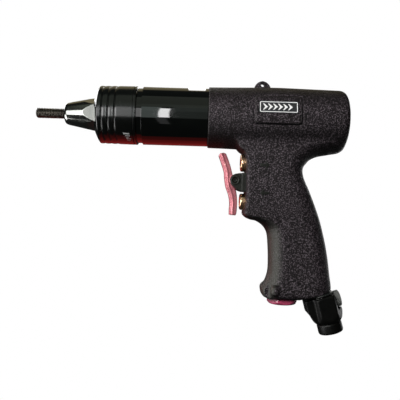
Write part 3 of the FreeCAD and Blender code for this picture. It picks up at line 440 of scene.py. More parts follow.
def moulding_material():
    """Grained charcoal moulding, with the grain worn smooth on the round of the lower grip, where a much paler
    tone is also a painted highlight. Painted shade darkens the top and the underside.
    """
    darker, lighter = (0.0105, 0.0078, 0.0088), (0.0165, 0.0125, 0.0145)
    hollow_tone, speck_tone = (0.0010, 0.0009, 0.0009), (0.128, 0.107, 0.12)
    worn_and_highlight_tone, edge_tone = (0.075, 0.078, 0.064), (0.10, 0.10, 0.09)
    painted_shade_tone = (0.0022, 0.002, 0.0018)
    worn_from, worn_below = -0.072, -0.084
    m = Nodes("moulding", darker, 0.5, ior=1.27)
    lower = m.share(m.axis("Z"), worn_from, worn_below)
    sideways = m.remap(m.math("ABSOLUTE", m.normal("Y")), 0.82, 0.98, 1.0, 0.0)
    facing = m.share(m.normal("X"), 0.0, -0.2)
    # Front round of the lower grip: the smoother grain and lower roughness there are real wear, and its much paler
    # tone is a painted highlight where it faces the lights.
    worn_smooth_and_highlight = m.times(m.times(lower, sideways), facing)
    grain_amount = m.math("SUBTRACT", 1.0, m.times(worn_smooth_and_highlight, 0.25))
    coarse = m.noise(1000.0, 2.0, 0.6)
    fine = m.noise(1700.0, 2.0, 0.5)
    pits = m.cells(760.0)
    grain = m.math("ADD", m.times(coarse, 0.8), m.times(fine, 0.3))
    grain = m.math("ADD", grain, m.times(pits, 0.45))
    speck = m.times(m.share(coarse, 0.52, 0.62), grain_amount)
    hollow = m.times(m.share(coarse, 0.48, 0.36), grain_amount)
    patch = m.cloud(45.0, 4.0, 0.6)
    tone = m.mix(patch, darker, lighter)
    tone = m.mix(m.times(hollow, 0.85), tone, hollow_tone)
    tone = m.mix(m.times(speck, 0.7), tone, speck_tone)
    tone = m.mix(m.times(worn_smooth_and_highlight, 0.5), tone, worn_and_highlight_tone)
    tone = m.mix(m.times(m.edge_wear(0.52, 0.58), 0.3), tone, edge_tone)
    # Painted shade: the colour darkens where the surface faces up or down, standing for the shade on the top and
    # the underside.
    painted_shade = m.remap(m.math("ABSOLUTE", m.normal("Z")), 0.2, 0.75, 0.0, 0.7)
    m.color(m.mix(painted_shade, tone, painted_shade_tone))
    rough = m.remap(fine, 0.3, 0.7, 0.4, 0.6)
    m.roughness(m.math("SUBTRACT", rough, m.times(worn_smooth_and_highlight, 0.14)))
    m.bump(m.times(grain, grain_amount), 0.9, 0.0007)


def black_metal_material(name, rough):
    """Blacked steel with faint turning rings, smears and a few worn edges."""
    darker, lighter = (0.0006, 0.0008, 0.0007), (0.0016, 0.0020, 0.0017)
    worn_tone = (0.03, 0.03, 0.027)
    m = Nodes(name, darker, rough, ior=1.56)
    rings = m.noise(900.0, 2.0, 0.5, m.stretched((1.0, 0.02, 0.02)))
    dust = m.noise(300.0, 6.0, 0.7)
    smear = m.noise(28.0, 3.0, 0.6)
    tone = m.mix(m.share(smear, 0.35, 0.7), darker, lighter)
    m.color(m.mix(m.times(m.edge_wear(0.54, 0.62), 0.35), tone, worn_tone))
    smeared = m.remap(smear, 0.3, 0.7, rough - 0.01, rough + 0.015)
    m.roughness(m.math("ADD", smeared, m.remap(dust, 0.55, 0.8, 0.0, 0.04)))
    m.bump(rings, 0.04, 0.00002)


def painted_trigger_material():
    """Rose metallic paint, pale on the edges: partly rubbed paint and partly a painted highlight along the rim."""
    darker, lighter, worn_tone = (0.39, 0.11, 0.135), (0.48, 0.165, 0.185), (0.85, 0.58, 0.50)
    m = Nodes("rose_trigger", darker, 0.28, 0.4)
    cloud = m.cloud(130.0, 5.0, 0.65)
    tone = m.mix(cloud, darker, lighter)
    # The pale edge tone is partly rubbed paint and partly a painted highlight along the trigger's rim.
    m.color(m.mix(m.times(m.edge_wear(0.52, 0.6), 0.5), tone, worn_tone))
    m.roughness(m.remap(m.noise(900.0, 3.0), 0.3, 0.7, 0.24, 0.38))
    m.bump(m.noise(1500.0, 3.0), 0.15, 0.00008)


def plastic(name, base, second, rough, bump=0.2, scale=1400.0, ior=1.5):
    """Plastic, rubber or paint: two close tones, fine grain and paler edges."""
    m = Nodes(name, base, rough, ior=ior)
    cloud = m.cloud(90.0, 5.0, 0.6)
    tone = m.mix(cloud, base, second)
    brighter = tuple(min(1.0, 1.6 * c + 0.02) for c in base)
    m.color(m.mix(m.times(m.edge_wear(), 0.4), tone, brighter))
    m.roughness(m.remap(m.noise(scale, 3.0), 0.3, 0.7, rough - 0.06, rough + 0.08))
    m.bump(m.noise(scale, 3.0), bump, 0.0001)


def sintered_material():
    """Bronze grains pressed together, dark in the gaps."""
    grain_tone, gap_tone = (0.42, 0.28, 0.13), (0.12, 0.07, 0.03)
    m = Nodes("bronze_filter", grain_tone, 0.55, 0.8)
    grains = m.cells(1500.0)
    m.color(m.mix(m.share(grains, 0.1, 0.6), grain_tone, gap_tone))
    m.bump(grains, 0.7, 0.0003)


def laminate_material():
    """Brown fabric laminate with its weave along the vane."""
    lighter, darker = (0.26, 0.14, 0.055), (0.15, 0.07, 0.025)
    m = Nodes("vane", lighter, 0.55)
    weave = m.noise(700.0, 2.0, 0.5, m.stretched((0.15, 1.0, 1.0)))
    m.color(m.mix(m.share(weave, 0.35, 0.65), lighter, darker))
    m.bump(weave, 0.3, 0.0001)


moulding_material()
black_metal_material("black_steel", 0.035)
black_metal_material("black_satin", 0.17)
painted_trigger_material()
plastic("exhaust_red", (0.42, 0.05, 0.12), (0.52, 0.08, 0.16), 0.3)
GREY_STEEL, DEEP_GREY = (0.21, 0.215, 0.20), (0.17, 0.175, 0.165)
metal("dark_steel", GREY_STEEL, 0.13, 1600.0, lines=(1.0, 0.05, 0.05), scuff=0.03, bump=0.06, dark=DEEP_GREY)
BROWN_STEEL, DEEP_BROWN = (0.13, 0.118, 0.10), (0.05, 0.045, 0.04)
metal("mandrel_steel", BROWN_STEEL, 0.38, grain=1500.0, scuff=0.1, bump=0.3, dark=DEEP_BROWN)
metal("bright_steel", (0.56, 0.56, 0.54), 0.25)
metal("gear_steel", (0.40, 0.40, 0.39), 0.32)
metal("spring_steel", (0.48, 0.48, 0.47), 0.3)
metal("cast_aluminium", (0.62, 0.62, 0.61), 0.42, grain=700.0, bump=0.3)
metal("motor_iron", (0.22, 0.22, 0.21), 0.45, grain=900.0, bump=0.3)
BRASS, DARK_BRASS = (0.88, 0.60, 0.40), (0.66, 0.38, 0.21)
metal("brass", BRASS, 0.22, grain=1400.0, lines=(1.0, 0.06, 0.06), bump=0.12, dark=DARK_BRASS)
plastic("knob_grey", (0.12, 0.123, 0.115), (0.085, 0.087, 0.08), 0.34, bump=0.4, scale=900.0)
plastic("rubber", (0.002, 0.002, 0.002), (0.004, 0.004, 0.004), 0.6, bump=0.3)
plastic("painted_black", (0.0045, 0.005, 0.0035), (0.011, 0.012, 0.0085), 0.4, 0.6, scale=700.0, ior=1.38)
plastic("rubberised", (0.0009, 0.0009, 0.0007), (0.002, 0.002, 0.0016), 0.4, 0.25, scale=1100.0, ior=1.33)
sintered_material()
laminate_material()
plastic("label", (0.014, 0.014, 0.016), (0.02, 0.02, 0.022), 0.3, bump=0.05)
plastic("white_print", (0.74, 0.74, 0.73), (0.66, 0.66, 0.65), 0.4, bump=0.05)

slots = {part["node"]: part["material_slot"] for part in frame["record"]["subparts"]}
for node, obj in frame["nodes"].items():
    obj.data.materials.clear()
    obj.data.materials.append(MATERIALS[slots[node]])


def finish_piece(obj, material, body, *nodes, slot=None):
    """Gives a piece its material, its body and the CAD nodes that it stands for."""
    obj.data.materials.append(MATERIALS[material])
    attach(obj, body)
    if nodes:
        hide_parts(*nodes)
    return obj


# ---- pistol housing

# Side outline of the handle, front edge down and rear edge back up, (x, z).
HANDLE_FRONT = [
    (133.6, -17.0), (136.2, -22.8), (138.0, -25.0), (141.3, -28.0), (142.9, -36.0), (143.1, -48.0),
    (143.1, -62.0), (142.5, -70.0), (142.1, -75.2), (145.7, -78.6), (151.6, -79.9), (156.6, -82.6),
    (159.8, -86.2), (161.6, -90.5), (162.5, -98.6), (163.1, -110.0), (162.9, -119.5), (161.0, -126.5),
    (158.4, -130.5), (157.6, -135.0), (157.9, -141.0), (158.5, -152.0),
]
HANDLE_REAR = [
    (212.5, -152.0), (211.8, -136.0), (212.4, -130.0), (211.0, -120.0), (209.6, -109.8), (207.8, -100.0),
    (205.6, -91.0), (202.9, -81.5), (199.5, -72.2), (195.8, -62.8), (191.9, -53.6), (188.6, -46.5),
    (187.2, -41.0), (187.6, -37.4), (189.6, -34.4), (192.8, -31.2), (199.5, -28.0), (208.0, -25.6),
    (215.0, -22.0), (212.0, -10.0),
]


def smooth_line(points, parts=6):
    """Catmull-Rom line through points."""
    points = np.asarray(points, dtype=float)
    padded = np.vstack([2 * points[0] - points[1], points, 2 * points[-1] - points[-2]])
    line = []
    for i in range(1, len(padded) - 2):
        a, b, c, d = padded[i - 1 : i + 3]
        for k in range(parts):
            t = k / parts
            square = 2 * a - 5 * b + 4 * c - d
            cube = 3 * b - a - 3 * c + d
            line.append(0.5 * (2 * b + (c - a) * t + square * t**2 + cube * t**3))
    line.append(points[-1])
    return np.array(line)


class Table2D:
    """A polygon's distance sampled once on a fine grid, then read back smoothly."""

    def __init__(self, corners, low, high, step):
        self.low = np.array(low, dtype=float)
        self.step = step
        counts = np.ceil((np.array(high) - self.low) / step).astype(int) + 1
        axes = [self.low[i] + step * np.arange(counts[i]) for i in range(2)]
        x, z = np.meshgrid(*axes, indexing="ij")
        self.values = polygon_distance(x, z, corners)

    def __call__(self, x, z):
        fx = np.clip((x - self.low[0]) / self.step, 0, self.values.shape[0] - 1.001)
        fz = np.clip((z - self.low[1]) / self.step, 0, self.values.shape[1] - 1.001)
        i, k = fx.astype(int), fz.astype(int)
        tx, tz = fx - i, fz - k
        v = self.values
        low = v[i, k] * (1 - tx) + v[i + 1, k] * tx
        high = v[i, k + 1] * (1 - tx) + v[i + 1, k + 1] * tx
        return low * (1 - tz) + high * tz


handle_outline = np.vstack([smooth_line(HANDLE_FRONT), smooth_line(HANDLE_REAR), [(150.0, -10.0)]])
handle_table = Table2D(handle_outline, (105.0, -160.0), (232.0, 12.0), 0.3)

# Radius of the upper body at a few stations, and its dome at the rear end.
BODY_X = [112, 122, 144, 163, 187, 215, 230]
BODY_RADIUS = [23.7, 23.85, 24.4, 24.85, 24.5, 24.0, 23.8]
BODY_FRONT, FRONT_EDGE = 112.3, 0.7
BODY_REAR, REAR_EDGE = 220.2, 6.0
DOME_HEIGHT, DOME_SPAN = 0.7, 20.0
# Half width of the handle and the line between its front and rear corners, at a few heights.
WIDTH_Z = [-160, -134, -118, -100, -86, -72, -50, -20, 0]
HALF_WIDTH = [15.8, 15.8, 15.2, 15.3, 16.0, 17.0, 17.2, 17.2, 17.2]
MIDDLE_Z = [-160, -120, -90, -60, -20]
MIDDLE_X = [185, 187, 183, 168, 165]
CORNER_BLEND = 14.0
# Corner radius level with the trigger, and what it gains on the lower grip.
FRONT_CORNER, FRONT_CORNER_GAIN = 2.3, 9.9
REAR_CORNER, REAR_CORNER_GAIN = 13.6, 1.0
GRIP_TOP = -72.0
HANDLE_END, END_EDGE = -140.0, 6.0

INLET_AXIS = JOINTS["inlet_swivel"]["axis"]
INLET_TILT = math.radians(round(math.degrees(math.atan2(INLET_AXIS[0], -INLET_AXIS[2])), 3))
INLET_POINT = np.array(joint_point("inlet_swivel"))
INLET_DIR = np.array([math.sin(INLET_TILT), 0.0, -math.cos(INLET_TILT)])
INLET_SIDE = np.array([math.cos(INLET_TILT), 0.0, math.sin(INLET_TILT)])
# The sloping seat of the inlet starts at one station, and in front of it the cut is moved out of reach.
INLET_FACE, INLET_FACE_START, INLET_FACE_BLEND, INLET_FACE_EDGE = -3.9, 184.0, 3.0, 1.5
OUT_OF_REACH = 40.0

PAD_CENTRE = (164.3, 3.9)
PAD_HALF = (17.5, 10.5)
PAD_RADIUS, PAD_CORNER = 25.7, 2.2
PAD_SIDE, PAD_EDGE, PAD_BLEND = -5.0, 0.9, 0.3
MOAT_MIDDLE, MOAT_HALF, MOAT_DEPTH = 0.75, 0.55, 0.55
MOAT_SIDE, MOAT_EDGE = -8.0, 0.4

# Lobes at the front foot of the handle: start, end and radius.
FOOT_LOBES = (
    ((161.3, -5.0, -132.6), (161.3, 5.0, -132.6), 3.95),
    ((167.5, 13.9, -132.2), (167.3, 14.1, -133.4), 3.75),
    ((167.5, -13.9, -132.2), (167.3, -14.1, -133.4), 3.75),
)
LOBE_BLEND, VALLEY_RADIUS, VALLEY_EDGE = 0.7, 2.9, 0.8

VALVE_HEIGHTS = {"reverse": -34.8, "forward": -65.4}
EXHAUST_X = 174.8
# Hollows of the housing: axis, centre, radius, start and end.
BORES = (
    (0, (0, 0), 20.6, 105, 121),
    (0, (0, 0), 19.6, 119, 204),
    (0, (0, 0), 12.0, 203, 216),
    (0, (0, VALVE_HEIGHTS["reverse"]), 6.4, 130, 168),
    (0, (0, VALVE_HEIGHTS["forward"]), 5.9, 130, 168),
    (2, (EXHAUST_X, 0), 9.0, -150, -102),
)
INLET_BORE, INLET_BORE_START, INLET_BORE_END = 6.4, -19.0, 10.0


# Fillet between body and handle, small at the trigger and large at the rear.
FRONT_FILLET, REAR_FILLET = 2.4, 6.0
FILLET_START, FILLET_SPAN = 146.0, 24.0


def body_radius(x):
    return spline(BODY_X, BODY_RADIUS, x)


def body_field(p):
    """The round upper body with its domed rear end."""
    x = p[:, 0]
    r = np.hypot(p[:, 1], p[:, 2])
    dome = x - (BODY_REAR - DOME_HEIGHT * (r / DOME_SPAN) ** 2)
    body = smooth_max(r - body_radius(x), dome, REAR_EDGE)
    return smooth_max(body, BODY_FRONT - x, FRONT_EDGE)


def handle_field(p):
    """The handle, with corners that change from front to rear and from top to bottom."""
    x, y, z = p[:, 0], p[:, 1], p[:, 2]
    low = smooth_step((GRIP_TOP - z) / CORNER_BLEND)
    back = smooth_step((x - spline(MIDDLE_Z, MIDDLE_X, z)) / CORNER_BLEND + 0.5)
    front_corner = FRONT_CORNER + FRONT_CORNER_GAIN * low
    rear_corner = REAR_CORNER + REAR_CORNER_GAIN * low
    corner = (1 - back) * front_corner + back * rear_corner
    across = np.abs(y) - spline(WIDTH_Z, HALF_WIDTH, z) + corner
    side = rounded_join(handle_table(x, z) + corner, across, corner)
    bottom = smooth_max(side, HANDLE_END - z, END_EDGE)
    across_face = (p - INLET_POINT) @ INLET_DIR - INLET_FACE
    near_face = smooth_step((x - INLET_FACE_START) / INLET_FACE_BLEND)
    return smooth_max(bottom, across_face - OUT_OF_REACH * (1 - near_face), INLET_FACE_EDGE)


def with_label_pad(solid, p):
    """Adds the raised pad under the label and the shallow moat round it."""
    x, y, z = p[:, 0], p[:, 1], p[:, 2]
    r = np.hypot(y, z)
    window = rounded_box_2d(x - PAD_CENTRE[0], z - PAD_CENTRE[1], *PAD_HALF, PAD_CORNER)
    pad = smooth_max(np.maximum(r - PAD_RADIUS, y - PAD_SIDE), window, PAD_EDGE)
    solid = smooth_min(solid, pad, PAD_BLEND)
    ring = np.abs(window - MOAT_MIDDLE) - MOAT_HALF
    moat = np.maximum(ring, np.maximum(body_radius(x) - MOAT_DEPTH - r, y - MOAT_SIDE))
    return smooth_max(solid, -moat, MOAT_EDGE)


def with_foot_lobes(solid, p):
    """Adds the round lobes at the front foot of the handle and the valleys between them."""
    for start, end, radius in FOOT_LOBES:
        solid = smooth_min(solid, capsule(p, start, end, radius), LOBE_BLEND)
    for side in (-1.0, 1.0):
        valley = capsule(p, (161.6, 12.6 * side, -128.6), (161.2, 12.2 * side, -138.5), VALLEY_RADIUS)
        solid = smooth_max(solid, -valley, VALLEY_EDGE)
    return solid


def housing_field(p):
    rear_share = smooth_step((p[:, 0] - FILLET_START) / FILLET_SPAN)
    blend = FRONT_FILLET + (REAR_FILLET - FRONT_FILLET) * rear_share
    solid = smooth_min(body_field(p), handle_field(p), blend)
    solid = with_foot_lobes(with_label_pad(solid, p), p)
    for axis, centre, radius, start, end in BORES:
        solid = np.maximum(solid, -cylinder_along(p, axis, centre, radius, start, end))
    local = p - INLET_POINT
    along = local @ INLET_DIR
    radial = np.hypot(local @ INLET_SIDE, p[:, 1])
    ends = np.maximum(INLET_BORE_START - along, along - INLET_BORE_END)
    return np.maximum(solid, -np.maximum(radial - INLET_BORE, ends))


HOUSING_STEP = 0.84
HOUSING_LOW, HOUSING_HIGH = (111, -27, -141), (225, 27, 27)
housing = field_object("housing_moulding", housing_field, HOUSING_LOW, HOUSING_HIGH, HOUSING_STEP, sharp=48.0)
finish_piece(housing, "moulding", "housing", "pistol_housing")


FINE_STEP, PART_STEP = 0.28, 0.36
RELIEF_SIDE, RELIEF_HALF, RELIEF_ROUNDING, RELIEF_MARGIN = 17.0, 0.65, 0.25, 0.9


def relief_mark(name, corners, centre, side):
    """A raised mark moulded on the flat side of the handle. It takes a darker paint than the moulding, which is
    painted shade for the shadow along its raised edges.
    """
    shape = np.asarray(corners, dtype=float) + np.asarray(centre)

    def field(p):
        moved = p.copy()
        moved[:, 1] = p[:, 1] - side * RELIEF_SIDE
        return rounded_slab(moved, shape, RELIEF_HALF, RELIEF_ROUNDING)

    low = (shape[:, 0].min(), side * RELIEF_SIDE - RELIEF_MARGIN, shape[:, 1].min())
    high = (shape[:, 0].max(), side * RELIEF_SIDE + RELIEF_MARGIN, shape[:, 1].max())
    piece = field_object(name, field, low, high, FINE_STEP)
    # The darker paint on the mark is painted shade standing for the shadow round its raised edges.
    finish_piece(piece, "painted_black", "housing", slot="moulding")


FORWARD_ARROW = [(-3.6, 0.0), (-0.6, 3.2), (-0.6, 1.1), (3.4, 1.1), (3.4, -1.1), (-0.6, -1.1), (-0.6, -3.2)]
REVERSE_ARROW = [(-x, z) for x, z in FORWARD_ARROW]
for side, word in ((-1, "near"), (1, "far")):
    relief_mark("reverse_mark_" + word, REVERSE_ARROW, (156.2, -37.0), side)
    relief_mark("forward_mark_" + word, FORWARD_ARROW, (156.6, -58.2), side)

# ---- label


def on_pad(x, z, radius):
    """A point on the round of the label pad."""
    return (x, -math.sqrt(radius**2 - z**2), z)


def sides_of(outline):
    """The two ends of each side of a closed outline."""
    points = [np.array(point, dtype=float) for point in outline]
    return list(zip(points, points[1:] + points[:1]))


def side_parts(outline, step):
    """How many parts of about one length each side of a closed outline takes."""
    return [max(1, int(np.ceil(np.linalg.norm(b - a) / step))) for a, b in sides_of(outline)]


def divided(outline, parts):
    """Points along a closed outline, with each side cut into its own number of parts."""
    points = []
    for (a, b), count in zip(sides_of(outline), parts):
        points += [a + (b - a) * k / count for k in range(count)]
    return np.array(points)


def pad_patch(name, outline, lift, thickness, material, steps=10):
    """A thin plate with a convex outline of (x, z) corners, lying on the pad."""
    low, high = PAD_RADIUS + lift, PAD_RADIUS + lift + thickness
    centre = np.asarray(outline, dtype=float).mean(axis=0)
    rim = divided(outline, side_parts(outline, 1.0))
    vertices = [on_pad(*point, low) for point in rim]
    for k in range(steps):
        ring = centre + (rim - centre) * (1.0 - k / steps)
        vertices += [on_pad(*point, high) for point in ring]
    vertices.append(on_pad(*centre, high))
    count = len(rim)
    last = len(vertices) - 1
    faces = grid_faces(steps + 1, count)
    faces += [(last - count + j, last - count + (j + 1) % count, last) for j in range(count)]
    obj = mesh_object(name, vertices, faces, 30.0)
    return finish_piece(obj, material, "housing", slot="label")


LABEL_X, LABEL_Z = (149.8, 178.8), (1.3, 10.3)
LABEL_THICKNESS, PRINT_LIFT, PRINT_THICKNESS = 0.2, 0.18, 0.12
LINE_INSET, LINE_WIDTH, LINE_LOW, LINE_HIGH = 0.5, 0.5, 0.12, 0.3
CHEVRONS, CHEVRON_START, CHEVRON_PITCH = 6, 154.1, 3.7
CHEVRON_LEAN, CHEVRON_WIDTH, CHEVRON_POINT = 1.5, 0.7, 2.1
CHEVRON_LOW, CHEVRON_MIDDLE, CHEVRON_HIGH = 3.4, 5.8, 8.2


def label_outline(inset, corner, parts):
    """The label's rectangle with round corners, moved inwards."""
    x0, x1 = LABEL_X[0] + inset, LABEL_X[1] - inset
    z0, z1 = LABEL_Z[0] + inset, LABEL_Z[1] - inset
    points = []
    for cx, cz, start in (
        (x1 - corner, z1 - corner, 0),
        (x0 + corner, z1 - corner, 90),
        (x0 + corner, z0 + corner, 180),
        (x1 - corner, z0 + corner, 270),
    ):
        for k in range(parts + 1):
            angle = math.radians(start + 90 * k / parts)
            points.append((cx + corner * math.cos(angle), cz + corner * math.sin(angle)))
    return points


def pad_frame(name, material):
    """A thin rectangular line that runs round the label."""
    outer = label_outline(LINE_INSET, 0.9, 5)
    inner = label_outline(LINE_INSET + LINE_WIDTH, 0.5, 5)
    parts = side_parts(outer, 0.8)
    low, high = PAD_RADIUS + LINE_LOW, PAD_RADIUS + LINE_HIGH
    vertices = []
    for outline, radius in ((outer, low), (outer, high), (inner, high), (inner, low)):
        vertices += [on_pad(*point, radius) for point in divided(outline, parts)]
    n = sum(parts)
    faces = grid_faces(4, n)
    faces += [(3 * n + j, 3 * n + (j + 1) % n, (j + 1) % n, j) for j in range(n)]
    obj = mesh_object(name, vertices, faces, 30.0)
    finish_piece(obj, material, "housing", slot="label")


plate = pad_patch("label_face", label_outline(0.0, 1.0, 4), 0.0, LABEL_THICKNESS, "label")
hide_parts("label_plate")
pad_frame("label_frame", "white_print")
for k in range(CHEVRONS):
    x = CHEVRON_START + CHEVRON_PITCH * k
    notch, tip = (x, CHEVRON_MIDDLE), (x + CHEVRON_POINT, CHEVRON_MIDDLE)
    left, right = x - CHEVRON_LEAN, x + CHEVRON_WIDTH - CHEVRON_LEAN
    upper = [notch, tip, (right, CHEVRON_HIGH), (left, CHEVRON_HIGH)]
    lower = [(left, CHEVRON_LOW), (right, CHEVRON_LOW), tip, notch]
    pad_patch("label_bar_upper_%d" % k, upper, PRINT_LIFT, PRINT_THICKNESS, "white_print", 4)
    pad_patch("label_bar_lower_%d" % k, lower, PRINT_LIFT, PRINT_THICKNESS, "white_print", 4)

# ---- nose group


def even_rows(start, end, step):
    """Stations from start to end for a closed outline."""
    count = max(2, int(round(abs(end[0] - start[0]) / step)))
    rows = []
    for i in range(count + 1):
        t = i / count
        rows.append((start[0] + (end[0] - start[0]) * t, start[1] + (end[1] - start[1]) * t))
    return rows


THREAD_PITCH, THREAD_CREST, THREAD_ROOT = 1.25, 4.0, 3.4
THREAD_START, THREAD_END = -23.0, 0.2
ROOT_SHARE, FLANK_SHARE = 0.12, 0.72
TIP_RADIUS, TIP_SLOPE = 2.9, 1.4
SHANK_RADIUS, SHANK_END = 3.65, 35.0


def thread_radius(x, r, angle):
    """Radius of the drive screw with its helical thread, tapered at the tip."""
    if r < THREAD_ROOT or x > THREAD_END + 0.01:
        return r
    phase = (x / THREAD_PITCH - angle / (2 * math.pi)) % 1.0
    ridge = abs(2 * phase - 1.0)
    height = min(1.0, max(0.0, (ridge - ROOT_SHARE) / FLANK_SHARE))
    crest = THREAD_ROOT + (THREAD_CREST - THREAD_ROOT) * height
    return min(crest, TIP_RADIUS + TIP_SLOPE * (x - THREAD_START))


thread_rows = even_rows((THREAD_START, THREAD_CREST), (THREAD_END, THREAD_CREST), 0.1)
mandrel_outline = [(THREAD_START, 0.0), (THREAD_START, 2.2)] + thread_rows
mandrel_outline += [(0.3, SHANK_RADIUS), (SHANK_END, SHANK_RADIUS), (SHANK_END, 0.0)]
mandrel = lathe("drive_screw", mandrel_outline, 72, steps=1, sharp=70.0, shape=thread_radius)
finish_piece(mandrel, "mandrel_steel", "spindle", "mandrel")


def hexagon_limit(half_flats, turn):
    """Limits a turned radius to a hexagon of a given size across its flats."""

    def limit(angle):
        local = (angle - turn + math.pi / 6) % (math.pi / 3) - math.pi / 6
        return half_flats / math.cos(local)

    return limit


head_flat = hexagon_limit(6.45, math.radians(30))


def head_shape(x, r, angle):
    return min(r, head_flat(angle))


head_corners = [(34.0, 3.0), (34.0, 6.6), (34.7, 7.3), (40.4, 7.3), (41.0, 6.6), (41.0, 3.0)]
head_outline = [(x, r, 0.15) for x, r in head_corners]
head = lathe("drive_screw_head", head_outline, 144, steps=2, sharp=25.0, shape=head_shape)
finish_piece(head, "mandrel_steel", "spindle")

nose_flat = hexagon_limit(11.3, 0.0)
SLEEVE_FRONT, SLEEVE_REAR = 24.3, 57.0


def nose_shape(x, r, angle):
    """Flats on the cone of the nosepiece, and on nothing smaller or further back."""
    return min(r, nose_flat(angle)) if 2.0 < x < SLEEVE_FRONT and r > 8.6 else r


nose_outline = [(0.0, 4.3, 0.35), (0.0, 6.9, 0.5), (0.8, 8.0, 0.6), (2.5, 8.7)]
nose_outline += even_rows((2.9, 8.78), (23.6, 12.95), 0.35)
nose_outline += [
    (24.0, 12.7, 0.2), (24.0, 8.95, 0.1), (31.4, 8.95, 0.3), (31.4, 5.55, 0.3), (8.0, 5.55), (8.0, 4.32),
]
nosepiece = lathe("nosepiece_turned", nose_outline, 288, sharp=14.0, shape=nose_shape)
finish_piece(nosepiece, "dark_steel", "nose", "nosepiece")

SLEEVE_X = [24.3, 24.6, 25.2, 26.2, 27.2, 28.1, 28.5, 29.2, 54.0, 56.9, 57.0]
SLEEVE_RADIUS = [14.4, 15.4, 16.9, 19.0, 20.9, 22.2, 22.4, 22.45, 22.76, 22.76, 22.72]
SLEEVE_STEP = 0.15
# Each hand groove is a wide shallow dip with a narrow deep one in it: half width and depth.
GROOVES = (31.5, 36.45, 41.4)
GROOVE_DIPS = ((2.4, 0.16), (0.8, 0.5))
REAR_GROOVE, REAR_GROOVE_RADIUS = (54.9, 55.4), 21.6


def sleeve_radius(x):
    """Outer radius of the sleeve along the tool, with its rounded hand grooves."""
    base = np.interp(x, SLEEVE_X, SLEEVE_RADIUS)
    for centre in GROOVES:
        away = abs(x - centre)
        for half_width, depth in GROOVE_DIPS:
            if away < half_width:
                base -= depth * (0.5 + 0.5 * math.cos(math.pi * away / half_width))
    return REAR_GROOVE_RADIUS if REAR_GROOVE[0] < x < REAR_GROOVE[1] else base


sleeve_outline = [(SLEEVE_FRONT, 9.0, 0.1), (SLEEVE_FRONT, 14.0)]
for i in range(int((SLEEVE_REAR - SLEEVE_FRONT) / SLEEVE_STEP) + 1):
    station = SLEEVE_FRONT + SLEEVE_STEP * i
    sleeve_outline.append((station, sleeve_radius(station)))
sleeve_outline += [
    (SLEEVE_REAR, 22.5), (SLEEVE_REAR, 18.97, 0.2), (42.0, 18.97), (42.0, 15.0), (32.0, 15.0), (32.0, 9.0),
]
sleeve = lathe("sleeve_turned", sleeve_outline, 192, steps=2, sharp=32.0)
finish_piece(sleeve, "black_satin", "nose", "adjusting_sleeve", slot="black_steel")


TICK_RADIUS, TICK_LIFTS, TICK_ROWS = 22.72, (-0.1, 0.06), 4


def sleeve_tick(name, x, length, height, half_width):
    """A thin printed scale mark on the round of the sleeve, at a height on its near side."""
    limits = [math.asin((height + part) / TICK_RADIUS) for part in (-half_width, half_width)]
    low, high = [TICK_RADIUS + lift for lift in TICK_LIFTS]
    corners = ((x, low), (x, high), (x + length, high), (x + length, low))
    vertices = []
    for angle in np.linspace(*limits, TICK_ROWS):
        vertices += [(place, -r * math.cos(angle), r * math.sin(angle)) for place, r in corners]
    faces = grid_faces(TICK_ROWS, 4)
    faces += [tuple(range(4)), tuple(range(4 * TICK_ROWS - 4, 4 * TICK_ROWS))]
    piece = mesh_object(name, vertices, faces, 30.0)
    finish_piece(piece, "white_print", "nose", slot="label")


INDEX_X, INDEX_LENGTH, INDEX_HEIGHT, INDEX_HALF = 47.9, 4.7, -16.3, 0.42
SCALE_MARKS, MARK_HALF = 4, 0.2
MARK_X, MARK_SHIFT = 49.3, 0.45
MARK_HEIGHT, MARK_PITCH = -17.7, 0.95
MARK_LENGTHS = (3.4, 2.3)
sleeve_tick("scale_index", INDEX_X, INDEX_LENGTH, INDEX_HEIGHT, INDEX_HALF)
for i in range(SCALE_MARKS):
    place, height = MARK_X + MARK_SHIFT * i, MARK_HEIGHT - MARK_PITCH * i
    sleeve_tick("scale_mark_%d" % i, place, MARK_LENGTHS[i % 2], height, MARK_HALF)

# ---- barrel

# A second row close behind an edge keeps the shading of the long flat stretch next to it level.
barrel_outline = [
    (44.0, 10.2, 0.3), (44.0, 18.3, 0.3), (44.6, 18.9, 0.3), (57.5, 18.9), (57.5, 21.3, 0.2),
    (61.45, 21.3, 0.1), (61.5, 22.5, 0.04), (61.6, 22.55), (61.9, 22.55), (62.3, 22.55), (80.0, 22.52),
    (111.7, 22.5), (112.1, 22.5), (112.3, 22.45), (112.3, 20.95), (121.0, 20.95, 0.3), (121.0, 20.05, 0.3),
    (68.0, 20.05), (68.0, 16.3), (47.0, 16.3), (47.0, 10.2),
]
barrel = lathe("gear_housing_turned", barrel_outline, 192)
finish_piece(barrel, "black_steel", "housing", "gear_housing")

# ---- hanging eye

EYE_X, EYE_Z = 154.4, 26.7
EYE_HALF, EYE_ROUNDING = 2.0, 0.6
EYE_FOOT, EYE_BASE = 22.6, 21.9
EYE_HILL_RADIUS, EYE_HILL_SQUASH = 6.7, 0.92
EYE_BOSS_RADIUS, EYE_BOSS_HALF, EYE_HOLE_RADIUS = 3.2, 2.35, 1.3


